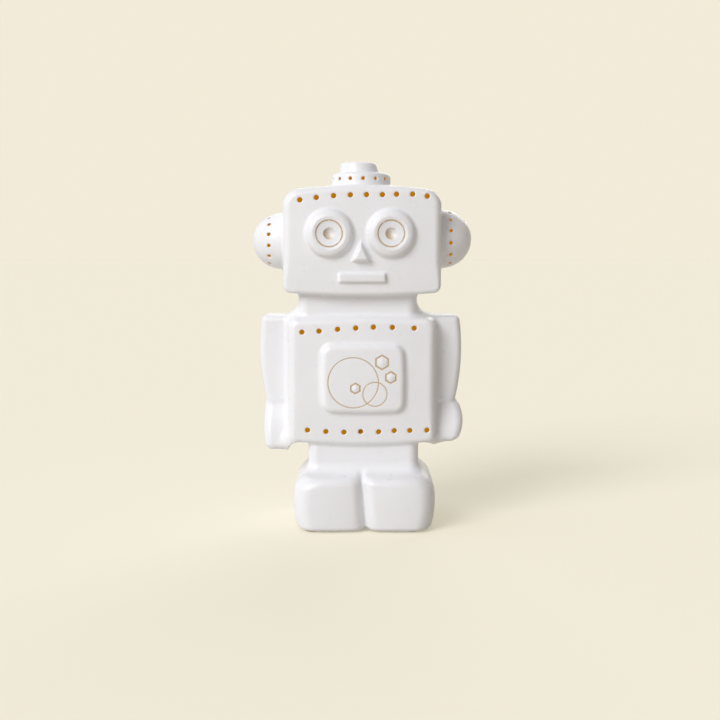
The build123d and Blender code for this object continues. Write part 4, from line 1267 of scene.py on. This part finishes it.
@dataclass(frozen=True)
class Glaze:
    """Thin satin glaze over white porcelain, with a painted tan glow and shade in whatever is scribed into
    it.
    """

    name: str = "glazed_porcelain"
    colour: Colour = (0.868, 0.878, 0.914)
    second: Colour = (0.840, 0.850, 0.887)
    # painted tan that stands for the lamp's glow through thin clay and the shade in scribed lines and pupils
    painted_glow_shade_colour: Colour = (0.52, 0.33, 0.12)
    glow_shade_attribute: str = "glow_and_shade"
    patch: float = 22.0
    sheen_patch: float = 130.0
    roughness: tuple[float, float] = (0.26, 0.40)
    milk: float = 0.12
    milk_depth: Point = (0.004, 0.0028, 0.0018)
    specular: float = 0.42
    ripple: float = 70.0
    ripple_depth: float = 0.0002

    def make(self) -> bpy.types.Material:
        """Put the material together.

        Returns:
            The material.
        """
        desk = MaterialDesk(self.name)
        body = desk.patches(self.patch, 5.0, self.colour, self.second)
        # a mesh attribute says where the painted glow and shade go over the glaze colour
        glow_and_shade = desk.add("ShaderNodeAttribute", attribute_name=self.glow_shade_attribute)
        desk.paint(desk.mix(glow_and_shade.outputs["Fac"], body, self.painted_glow_shade_colour))
        sheen = desk.between(desk.noise(self.sheen_patch, 4.0), *self.roughness)
        desk.join(sheen, desk.shader.inputs["Roughness"])
        desk.set(Subsurface_Weight=self.milk, Subsurface_Radius=self.milk_depth, Subsurface_Scale=1.0,
                 Specular_IOR_Level=self.specular)
        desk.bump(desk.noise(self.ripple, 1.0), self.ripple_depth)
        return desk.material


@dataclass(frozen=True)
class LitClay:
    """The unglazed inside of the casting, painted dark amber with a painted glow for the bulb's light."""

    name: str = "lamplit_clay"
    # painted shade and lamplight: a dark amber colour and an amber glow stand in for the bulb lighting the
    # inside
    colour: Colour = (0.20, 0.09, 0.02)
    second: Colour = (0.16, 0.07, 0.015)
    glow: Colour = (0.36, 0.15, 0.0)
    strength: float = 1.0
    roughness: float = 0.85
    patch: float = 80.0
    grain: float = 700.0
    depth: float = 0.00003

    def make(self) -> bpy.types.Material:
        """Put the material together.

        Returns:
            The material.
        """
        desk = MaterialDesk(self.name)
        desk.paint(desk.patches(self.patch, 4.0, self.colour, self.second))
        desk.set(Roughness=self.roughness, Emission_Color=(*self.glow, 1.0), Emission_Strength=self.strength)
        desk.bump(desk.noise(self.grain, 3.0), self.depth)
        return desk.material


@dataclass(frozen=True)
class ClearGlass:
    """Thin blown glass with faint waves and a trace of colour."""

    name: str
    colour: Colour
    roughness: float = 0.02
    ior: float = 1.5
    wave: float = 0.00004
    waves: float = 60.0
    patch: float = 90.0
    paler: float = 1.02

    def make(self) -> bpy.types.Material:
        """Put the material together.

        Returns:
            The material.
        """
        desk = MaterialDesk(self.name)
        paler = tuple(min(1.0, self.paler * c) for c in self.colour)
        desk.paint(desk.patches(self.patch, 2.0, self.colour, paler))
        desk.set(Roughness=self.roughness, IOR=self.ior, Transmission_Weight=1.0)
        desk.bump(desk.noise(self.waves, 2.0), self.wave)
        return desk.material


@dataclass(frozen=True)
class HotWire:
    """A glowing tungsten wire, with a tone that wanders a little."""

    name: str = "glowing_tungsten"
    colour: Colour = (0.30, 0.20, 0.12)
    second: Colour = (0.22, 0.15, 0.10)
    glow: Colour = (1.0, 0.50, 0.13)
    strength: float = 6.0
    roughness: float = 0.5
    patch: float = 900.0

    def make(self) -> bpy.types.Material:
        """Put the material together.

        Returns:
            The material.
        """
        desk = MaterialDesk(self.name)
        desk.paint(desk.patches(self.patch, 2.0, self.colour, self.second))
        desk.set(Roughness=self.roughness, Metallic=1.0, Emission_Color=(*self.glow, 1.0),
                 Emission_Strength=self.strength)
        return desk.material


class Surface(Enum):
    """The finishes of the pads, the light unit and the bulb."""

    PAD_RUBBER = Finish("pad_rubber", (0.60, 0.58, 0.53), (0.54, 0.52, 0.47), (0.5, 0.75), grain=1800.0,
                        patch=150.0, depth=0.00003)
    ENAMEL = Finish("stoved_enamel", (0.78, 0.77, 0.73), (0.74, 0.73, 0.69), (0.16, 0.30), coat=0.4,
                    grain=420.0, patch=35.0, depth=0.00002)
    SPRING_STEEL = Finish("rolled_spring_steel", (0.42, 0.42, 0.44), (0.34, 0.34, 0.37), (0.22, 0.42),
                          metallic=1.0, grain=1500.0, patch=120.0, depth=0.000012, stretch=(1.0, 1.0, 0.08))
    ZINC = Finish("bright_zinc_plate", (0.66, 0.66, 0.64), (0.56, 0.57, 0.58), (0.24, 0.44), metallic=1.0,
                  grain=1300.0, patch=240.0, depth=0.000012)
    BUSH_NYLON = Finish("moulded_nylon", (0.72, 0.71, 0.67), (0.68, 0.67, 0.62), (0.36, 0.52), grain=1100.0,
                        patch=180.0, depth=0.00002)
    HOLDER_PLASTIC = Finish("moulded_holder_plastic", (0.78, 0.76, 0.71), (0.74, 0.72, 0.67), (0.16, 0.27),
                            coat=0.2, grain=600.0, patch=50.0, depth=0.00001)
    STEATITE = Finish("unglazed_steatite", (0.74, 0.72, 0.66), (0.68, 0.65, 0.58), (0.62, 0.85), grain=1400.0,
                      patch=160.0, depth=0.00004)
    BRASS = Finish("pressed_brass", (0.60, 0.41, 0.15), (0.47, 0.31, 0.11), (0.22, 0.40), metallic=1.0,
                   grain=1200.0, patch=200.0, depth=0.00001)
    SOLDER = Finish("dull_solder", (0.48, 0.48, 0.50), (0.38, 0.38, 0.41), (0.36, 0.6), metallic=1.0,
                    grain=900.0, patch=400.0, depth=0.00004)
    BLACK_GLASS = Finish("black_cast_glass", (0.012, 0.012, 0.014), (0.02, 0.018, 0.018), (0.08, 0.18),
                         grain=800.0, patch=300.0, depth=0.00001)
    NICKEL = Finish("nickel_plate", (0.62, 0.60, 0.56), (0.54, 0.52, 0.48), (0.16, 0.30), metallic=1.0,
                    grain=1400.0, patch=160.0, depth=0.000008)
    LEAD_WIRE = Finish("drawn_wire", (0.52, 0.44, 0.35), (0.42, 0.36, 0.30), (0.3, 0.45), metallic=1.0,
                       grain=2600.0, patch=600.0, depth=0.000006)
    BULB_GLASS = ClearGlass("blown_bulb_glass", (0.985, 0.985, 0.975))
    STEM_GLASS = ClearGlass("lead_glass_stem", (0.90, 0.94, 0.92), 0.06, 1.55, 0.00008)
    TUNGSTEN = HotWire()


def nodes_with_slot(slot: str) -> list[str]:
    """Names of the CAD nodes that take their finish from a slot of the record."""
    return [part["node"] for part in frame["record"]["subparts"] if part["material_slot"] == slot]


def dress(slots: dict[str, Surface]) -> None:
    """Give every CAD node of each slot its finish.

    Args:
        slots: the finish of each slot.
    """
    for slot, surface in slots.items():
        material = surface.value.make()
        for name in nodes_with_slot(slot):
            node = frame["nodes"][name]
            node.data.materials.clear()
            node.data.materials.append(material)
            log.info("%s: %s", name, material.name)


# ============================================================ turned and wound pieces
def new_piece(name: str, points: Sequence[Point], faces: Sequence[Sequence[int]]) -> bpy.types.Object:
    """Make a smooth-shaded object from points in millimetres and faces.

    Args:
        name: of the object.
        points: places in millimetres.
        faces: vertex numbers of each face.

    Returns:
        The new object.
    """
    mesh = bpy.data.meshes.new(name)
    mesh.from_pydata([tuple(c * MM for c in p) for p in points], [], [tuple(f) for f in faces])
    shape = bmesh.new()
    shape.from_mesh(mesh)
    bmesh.ops.recalc_face_normals(shape, faces=shape.faces)
    shape.to_mesh(mesh)
    shape.free()
    mesh.shade_smooth()
    piece = bpy.data.objects.new(name, mesh)
    bpy.context.scene.collection.objects.link(piece)
    return piece


@dataclass(frozen=True)
class Threaded:
    """A turned outline with a helical thread along part of its height, in millimetres.

    `outline` runs round the whole section as (radius, z), outside first; the thread sinks into
    it between `low` and `high` where the radius is that of `crest`.
    """

    name: str
    outline: tuple[tuple[float, float], ...]
    crest: float
    low: float
    high: float
    pitch: float
    depth: float
    sharp: bool
    steps: int = 48
    rows_per_turn: float = 8.0
    sharp_angle: float = 50.0

    def _sunk(self, radius: float, z: float, turn: float) -> float:
        """The radius once the thread has sunk into it.

        Args:
            radius: the outline's radius.
            z: the height.
            turn: the turn round the axis, from 0 to 1.

        Returns:
            The radius there.
        """
        if abs(radius - self.crest) > TINY or not self.low < z < self.high:
            return radius
        phase = (z / self.pitch - turn) % 1.0
        wave = abs(2 * phase - 1) if self.sharp else 0.5 + 0.5 * math.cos(2 * math.pi * phase)
        fade = min(1.0, (z - self.low) / self.pitch, (self.high - z) / self.pitch)
        return radius - self.depth * fade * wave

    def _rows(self) -> list[tuple[float, float]]:
        """The outline with enough rows along its threaded stretch.

        Returns:
            Pairs of radius and height.
        """
        rows = []
        for (r0, z0), (r1, z1) in zip(self.outline, self.outline[1:] + self.outline[:1]):
            threaded = abs(r0 - self.crest) < TINY and abs(r1 - self.crest) < TINY
            count = max(1, round(abs(z1 - z0) / self.pitch * self.rows_per_turn)) if threaded else 1
            rows += [(r0 + (r1 - r0) * i / count, z0 + (z1 - z0) * i / count) for i in range(count)]
        return rows

    def build(self, body: str, slot: str, surface: Surface) -> bpy.types.Object:
        """Make the piece, put it in place of its node and dress it.

        Args:
            body: the body that the piece rides on.
            slot: its material slot; not used.
            surface: its finish.

        Returns:
            The new object.
        """
        rows = self._rows()
        points, faces = [], []
        for radius, z in rows:
            for step in range(self.steps):
                turn = step / self.steps
                r = self._sunk(radius, z, turn)
                points.append((r * math.cos(2 * math.pi * turn), r * math.sin(2 * math.pi * turn), z))
        for row in range(len(rows)):
            after = (row + 1) % len(rows)
            for step in range(self.steps):
                beside = (step + 1) % self.steps
                faces.append((row * self.steps + step, row * self.steps + beside,
                              after * self.steps + beside, after * self.steps + step))
        piece = new_piece(f"{self.name}_threaded", points, faces)
        piece.data.set_sharp_from_angle(angle=math.radians(self.sharp_angle))
        piece.data.materials.append(surface.value.make())
        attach(piece, body)
        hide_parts(self.name)
        log.info("%s: %d faces", piece.name, len(piece.data.polygons))
        return piece


@dataclass(frozen=True)
class Coil:
    """A fine wire wound round an arched line between the two lead wires, in millimetres."""

    name: str = "bulb_filament"
    half_span: float = 5.85
    low: float = 88.5
    rise: float = 2.4
    wound: float = 0.34
    wire: float = 0.085
    turns: int = 36
    steps: int = 12
    sides: int = 6

    def _line(self, share: float) -> Vector:
        """A place along the arched line, from 0 to 1."""
        x = (2 * share - 1) * self.half_span
        return Vector((x, 0.0, self.low + self.rise * (1 - (x / self.half_span) ** 2)))

    def build(self, body: str) -> bpy.types.Object:
        """Wind the coil, put it in place of its node and dress it.

        Args:
            body: the body that the piece rides on.

        Returns:
            The new object.
        """
        count = self.turns * self.steps
        path = []
        for i in range(count + 1):
            turn = 2 * math.pi * i / self.steps
            ahead, behind = self._line(min(1.0, (i + 1) / count)), self._line(max(0.0, (i - 1) / count))
            along = (ahead - behind).normalized()
            up = Vector((0.0, 1.0, 0.0)).cross(along)
            out = math.cos(turn) * Vector((0.0, 1.0, 0.0)) + math.sin(turn) * up
            path.append(self._line(i / count) + self.wound * out)
        points, faces = [], []
        for i, place in enumerate(path):
            ahead = (path[min(i + 1, count)] - path[max(i - 1, 0)]).normalized()
            if i == 0:
                side = ahead.orthogonal().normalized()
            else:
                side = (side - ahead * side.dot(ahead)).normalized()
            for j in range(self.sides):
                angle = 2 * math.pi * j / self.sides
                spoke = math.cos(angle) * side + math.sin(angle) * ahead.cross(side)
                points.append(place + self.wire * spoke)
        for i in range(count):
            for j in range(self.sides):
                k = (j + 1) % self.sides
                here, after = i * self.sides, (i + 1) * self.sides
                faces.append((here + j, here + k, after + k, after + j))
        faces.append(tuple(range(self.sides)))
        faces.append(tuple(count * self.sides + j for j in reversed(range(self.sides))))
        piece = new_piece("bulb_filament_coil", points, faces)
        piece.data.materials.append(Surface.TUNGSTEN.value.make())
        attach(piece, body)
        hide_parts(self.name)
        log.info("%s: %d faces", piece.name, len(piece.data.polygons))
        return piece


@dataclass
class LightUnit:
    """The vented plate with its springs, the threaded nipple and the lampholder."""

    body: str = "light_unit"
    nipple: Threaded = Threaded("threaded_nipple", ((5.0, 7.6), (5.0, 25.0), (4.2, 25.0), (4.2, 7.6)),
                                crest=5.0, low=7.7, high=24.9, pitch=1.0, depth=0.45, sharp=True)
    finishes: dict[str, Surface] = field(default_factory=lambda: {
        "plate_enamel": Surface.ENAMEL, "spring_steel": Surface.SPRING_STEEL, "zinc_steel": Surface.ZINC,
        "bush_plastic": Surface.BUSH_NYLON, "holder_plastic": Surface.HOLDER_PLASTIC,
        "insert_ceramic": Surface.STEATITE, "terminal_brass": Surface.BRASS})

    def build(self) -> None:
        """Dress the unit's nodes and cut the nipple's thread."""
        dress(self.finishes)
        self.nipple.build(self.body, "zinc_steel", Surface.ZINC)


@dataclass
class Bulb:
    """The small tubular bulb: rolled screw cap, glass, stem, wires and coiled filament."""

    body: str = "bulb"
    cap: Threaded = Threaded("bulb_cap", (
        (6.9, 47.5), (6.9, 60.5), (8.4, 62.0), (8.4, 66.5), (8.1, 66.5), (8.1, 62.0), (5.6, 60.5),
        (5.6, 48.3), (1.2, 48.3), (1.2, 47.5)),
        crest=6.9, low=47.9, high=60.3, pitch=2.82, depth=0.85, sharp=False)
    filament: Coil = Coil()
    finishes: dict[str, Surface] = field(default_factory=lambda: {
        "solder": Surface.SOLDER, "black_glass": Surface.BLACK_GLASS, "bulb_glass": Surface.BULB_GLASS,
        "stem_glass": Surface.STEM_GLASS, "lead_wire": Surface.LEAD_WIRE})

    def build(self) -> None:
        """Dress the bulb's nodes, roll its cap's thread and wind its filament."""
        dress(self.finishes)
        self.cap.build(self.body, "nickel_cap", Surface.NICKEL)
        self.filament.build(self.body)


@dataclass
class FootPads:
    """The four soft discs under the feet."""

    finishes: dict[str, Surface] = field(default_factory=lambda: {"pad_rubber": Surface.PAD_RUBBER})

    def build(self) -> None:
        """Dress the pads."""
        dress(self.finishes)


# ============================================================ the porcelain figure
@dataclass(frozen=True)
class RefiningRound:
    """Which triangles one round cuts: near work, in millimetres, or where the skin turns, in degrees."""

    engraving: float
    holes: float | None = None
    hole_depth: float = 0.0
    bend: float | None = None
    relief: float | None = None


@dataclass
class PorcelainFigure:
    """The fired casting: one hollow shell with relief, engraving and pierced holes."""

    form: FigureForm = field(default_factory=FigureForm)
    net: SurfaceNet = SurfaceNet((-88.0, -51.0, -2.0), (88.0, 51.0, 283.0), 2.1)
    rounds: tuple[RefiningRound, ...] = (
        RefiningRound(engraving=1.6, holes=1.6, hole_depth=4.2, bend=12.0, relief=0.02),
        RefiningRound(engraving=0.7, holes=0.8, hole_depth=3.0, bend=18.0),
        RefiningRound(engraving=0.4))
    first_relaxing: float = 0.5
    relaxing: float = 0.3
    skin_depth: float = 2.6
    lit_depth: float = 1.0
    lit_margin: float = 0.6
    # how deep and how strong the painted glow and shade in scribed lines is
    glow_shade_depth: float = 0.3
    glow_shade_tone: float = 0.8
    # painted shade in the pupils, darker towards the lower left of each
    pupil_shade_tone: float = 0.66
    pupil_shade_least: float = 0.16
    pupil_shade_edge: float = 1.25
    pupil_shade_span: tuple[float, float] = (-0.45, 0.85)
    pupil_shade_slant: float = 0.6

    def build(self) -> bpy.types.Object:
        """Mesh the figure, dress it and put it in place of the castings.

        Returns:
            The new object.
        """
        form = self.form
        points, triangles = self.net.mesh(form.coarse)
        points = relax(settle(points, form.coarse, 1), triangles, self.first_relaxing)
        points = settle(points, form.coarse, 2)
        for rule in self.rounds:
            points, triangles = refine(points, triangles, self._chosen(rule, points, triangles))
            points = settle(points, form.finished, 1)
            points = settle(relax(points, triangles, self.relaxing), form.finished, 2)
        piece = self._object(points, triangles)
        self._dress(piece, points, triangles)
        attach(piece, "porcelain_shell")
        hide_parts(*nodes_with_slot("porcelain"))
        log.info("porcelain_figure: %d triangles", len(triangles))
        return piece

    @staticmethod
    def _middles(points: Grid, triangles: Grid) -> Places:
        """The middle of each triangle."""
        return Places(*points[triangles].mean(axis=1).T)

    def _bent(self, points: Grid, triangles: Grid, angle: float) -> Grid:
        """Flag the triangles across which the skin turns by more than an angle in degrees.

        Args:
            points: vertices, (n, 3), in millimetres.
            triangles: vertex numbers, (m, 3).
            angle: the least turn, in degrees.

        Returns:
            A flag for each triangle.
        """
        facing = normals_of(points, self.form.coarse)[triangles]
        turned = np.minimum(*((facing[:, 0] * facing[:, corner]).sum(axis=1) for corner in (1, 2)))
        return turned < math.cos(math.radians(angle))

    def _chosen(self, rule: RefiningRound, points: Grid, triangles: Grid) -> Grid:
        """Flag the triangles that one round of refining cuts.

        Args:
            rule: what the round cuts.
            points: vertices, (n, 3), in millimetres.
            triangles: vertex numbers, (m, 3).

        Returns:
            A flag for each triangle.
        """
        form = self.form
        at = self._middles(points, triangles)
        clay = form.clay(at)
        outer = clay > -self.skin_depth
        chosen = outer & (form.engraving(at) < rule.engraving)
        if rule.relief is not None:
            chosen |= outer & (form.relief(at) < clay - rule.relief)
        if rule.holes is not None:
            chosen |= (form.holes(at) < rule.holes) & (clay > -rule.hole_depth)
        if rule.bend is not None:
            chosen |= outer & self._bent(points, triangles, rule.bend)
        return chosen

    def _object(self, points: Grid, triangles: Grid) -> bpy.types.Object:
        """Make the mesh, smooth shaded.

        Args:
            points: vertices, (n, 3), in millimetres.
            triangles: vertex numbers, (m, 3).

        Returns:
            The new object.
        """
        mesh = bpy.data.meshes.new("porcelain_figure")
        mesh.vertices.add(len(points))
        mesh.vertices.foreach_set("co", (points * MM).astype(np.float32).ravel())
        mesh.loops.add(3 * len(triangles))
        mesh.loops.foreach_set("vertex_index", triangles.astype(np.int32).ravel())
        mesh.polygons.add(len(triangles))
        mesh.polygons.foreach_set("loop_start", np.arange(0, 3 * len(triangles), 3, dtype=np.int32))
        mesh.update(calc_edges=True)
        mesh.validate()
        mesh.shade_smooth()
        piece = bpy.data.objects.new("porcelain_figure", mesh)
        bpy.context.scene.collection.objects.link(piece)
        return piece

    def _dress(self, piece: bpy.types.Object, points: Grid, triangles: Grid) -> None:
        """Give the skin its glaze, the inside its painted lamplight, and the scribed lines and pupils their
        painted glow and shade.

        Args:
            piece: the figure.
            points: vertices, (n, 3), in millimetres.
            triangles: vertex numbers, (m, 3).
        """
        form = self.form
        for finish in (Glaze(), LitClay()):
            piece.data.materials.append(finish.make())
        at = self._middles(points, triangles)
        margin = self.lit_margin
        below = form.underside(at, margin) < 0
        below |= (length(at.x, at.y) < form.bore_radius + margin) & (at.z < form.floor_top + margin)
        lit = (form.clay(at) < -self.lit_depth) & ~below
        piece.data.polygons.foreach_set("material_index", lit.astype(np.int32))
        # painted glow and shade in the scribed lines, stronger where the groove is deeper
        at = Places(*points.T)
        depth = np.clip(-form.relief(at) / self.glow_shade_depth, 0.0, 1.0)
        glow_and_shade = np.where(form.engraving(at) < self.glow_shade_depth, self.glow_shade_tone * depth, 0.0)
        # painted shade in each pupil, strongest on its lower left, where shade falls
        for eye in form.eyes:
            off = length(at.x - eye.x, at.z - eye.z) / eye.pupil
            side = ((eye.x - at.x) + self.pupil_shade_slant * (eye.z - at.z)) / eye.pupil
            shade = self.pupil_shade_least + (1.0 - self.pupil_shade_least) * ramp(side, *self.pupil_shade_span)
            glow_and_shade = np.where(off < self.pupil_shade_edge, depth * shade * self.pupil_shade_tone, glow_and_shade)
        attribute = piece.data.attributes.new("glow_and_shade", "FLOAT", "POINT")
        attribute.data.foreach_set("value", glow_and_shade.astype(np.float32))
        piece.data.normals_split_custom_set_from_vertices(normals_of(points, form.finished))


# ============================================================ the studio
@dataclass(frozen=True)
class Studio:
    """Camera, lights, world and floor."""

    eye: Point = (-0.0016, -0.850, 0.20887)
    pitch: float = 5.5
    lens: float = 54.44
    paper: Colour = (0.888, 0.831, 0.694)
    floor_colour: Colour = (0.66, 0.61, 0.53)
    shadow_paper: Colour = (0.60, 0.57, 0.50)
    glow_paper: Colour = (0.387, 0.364, 0.286)
    left_light: Colour = (0.62, 0.62, 0.64)
    right_light: Colour = (0.165, 0.142, 0.12)
    key_turn: Point = (60.0, 0.0, -40.0)
    key_strength: float = 1.97
    key_angle: float = 34.0
    back_turn: Point = (-60.0, 0.0, -14.0)
    back_strength: float = 0.75
    back_angle: float = 45.0
    side_span: tuple[float, float] = (-0.7, 0.7)
    sensor: float = 36.0
    clip: tuple[float, float] = (0.01, 100.0)
    floor_half: float = 40.0

    def build(self) -> None:
        """Set the camera, the lights, the world and the floor."""
        self._camera()
        self._sun("key", self.key_turn, self.key_strength, self.key_angle)
        self._sun("back", self.back_turn, self.back_strength, self.back_angle)
        self._world()
        self._floor()
        bpy.context.scene.view_settings.view_transform = "Standard"

    def _camera(self) -> None:
        """Place the camera."""
        data = bpy.data.cameras.new("camera")
        data.lens = self.lens
        data.sensor_width = self.sensor
        data.clip_start, data.clip_end = self.clip
        camera = bpy.data.objects.new("camera", data)
        camera.location = self.eye
        camera.rotation_euler = (math.radians(90.0 - self.pitch), 0.0, 0.0)
        bpy.context.scene.collection.objects.link(camera)
        bpy.context.scene.camera = camera

    def _sun(self, name: str, turn: Point, strength: float, angle: float) -> None:
        """A broad soft light from one direction.

        Args:
            name: of the light.
            turn: its angles, in degrees.
            strength: its power.
            angle: how wide it is, in degrees.
        """
        data = bpy.data.lights.new(name, "SUN")
        data.energy = strength
        data.angle = math.radians(angle)
        light = bpy.data.objects.new(name, data)
        light.rotation_euler = tuple(math.radians(a) for a in turn)
        bpy.context.scene.collection.objects.link(light)

    def _world(self) -> None:
        """Soft light all round, weaker and warmer from the right; the camera sees plain paper."""
        world = bpy.data.worlds.new("studio")
        bpy.context.scene.world = world
        world.use_nodes = True
        world.node_tree.nodes.clear()
        desk = NodeDesk(world.node_tree)
        place = desk.add("ShaderNodeTexCoord")
        split = desk.add("ShaderNodeSeparateXYZ")
        desk.join(place.outputs["Generated"], split.inputs["Vector"])
        across = desk.between(split.outputs["X"], 0.0, 1.0, self.side_span)
        soft = desk.add("ShaderNodeBackground")
        desk.join(desk.mix(across, self.left_light, self.right_light), soft.inputs["Color"])
        plain = desk.add("ShaderNodeBackground", Color=(*self.paper, 1.0))
        out = desk.add("ShaderNodeOutputWorld")
        desk.by_ray(soft.outputs["Background"], plain.outputs["Background"], out)

    def _floor(self) -> None:
        """A wide plain floor: paper that glows a little for the camera, so that shadows stay light."""
        mesh = bpy.data.meshes.new("floor")
        shape = bmesh.new()
        bmesh.ops.create_grid(shape, x_segments=4, y_segments=4, size=self.floor_half)
        shape.to_mesh(mesh)
        shape.free()
        floor = bpy.data.objects.new("floor", mesh)
        bpy.context.scene.collection.objects.link(floor)
        desk = MaterialDesk("floor_paper")
        desk.set(Roughness=1.0, Specular_IOR_Level=0.0, Base_Color=(*self.floor_colour, 1.0))
        pale = desk.add("ShaderNodeBsdfDiffuse", Color=(*self.shadow_paper, 1.0))
        glow = desk.add("ShaderNodeEmission", Color=(*self.glow_paper, 1.0))
        both = desk.add("ShaderNodeAddShader")
        desk.join(pale.outputs["BSDF"], both.inputs[0])
        desk.join(glow.outputs["Emission"], both.inputs[1])
        out = next(n for n in desk.tree.nodes if n.type == "OUTPUT_MATERIAL")
        desk.by_ray(desk.shader.outputs["BSDF"], both.outputs["Shader"], out)
        mesh.materials.append(desk.material)


def main() -> None:
    """Build the studio and the lamp."""
    logging.basicConfig(level=logging.INFO, format="%(name)s %(message)s")
    Studio().build()
    FootPads().build()
    LightUnit().build()
    Bulb().build()
    PorcelainFigure().build()


if __name__ == "__main__":
    main()
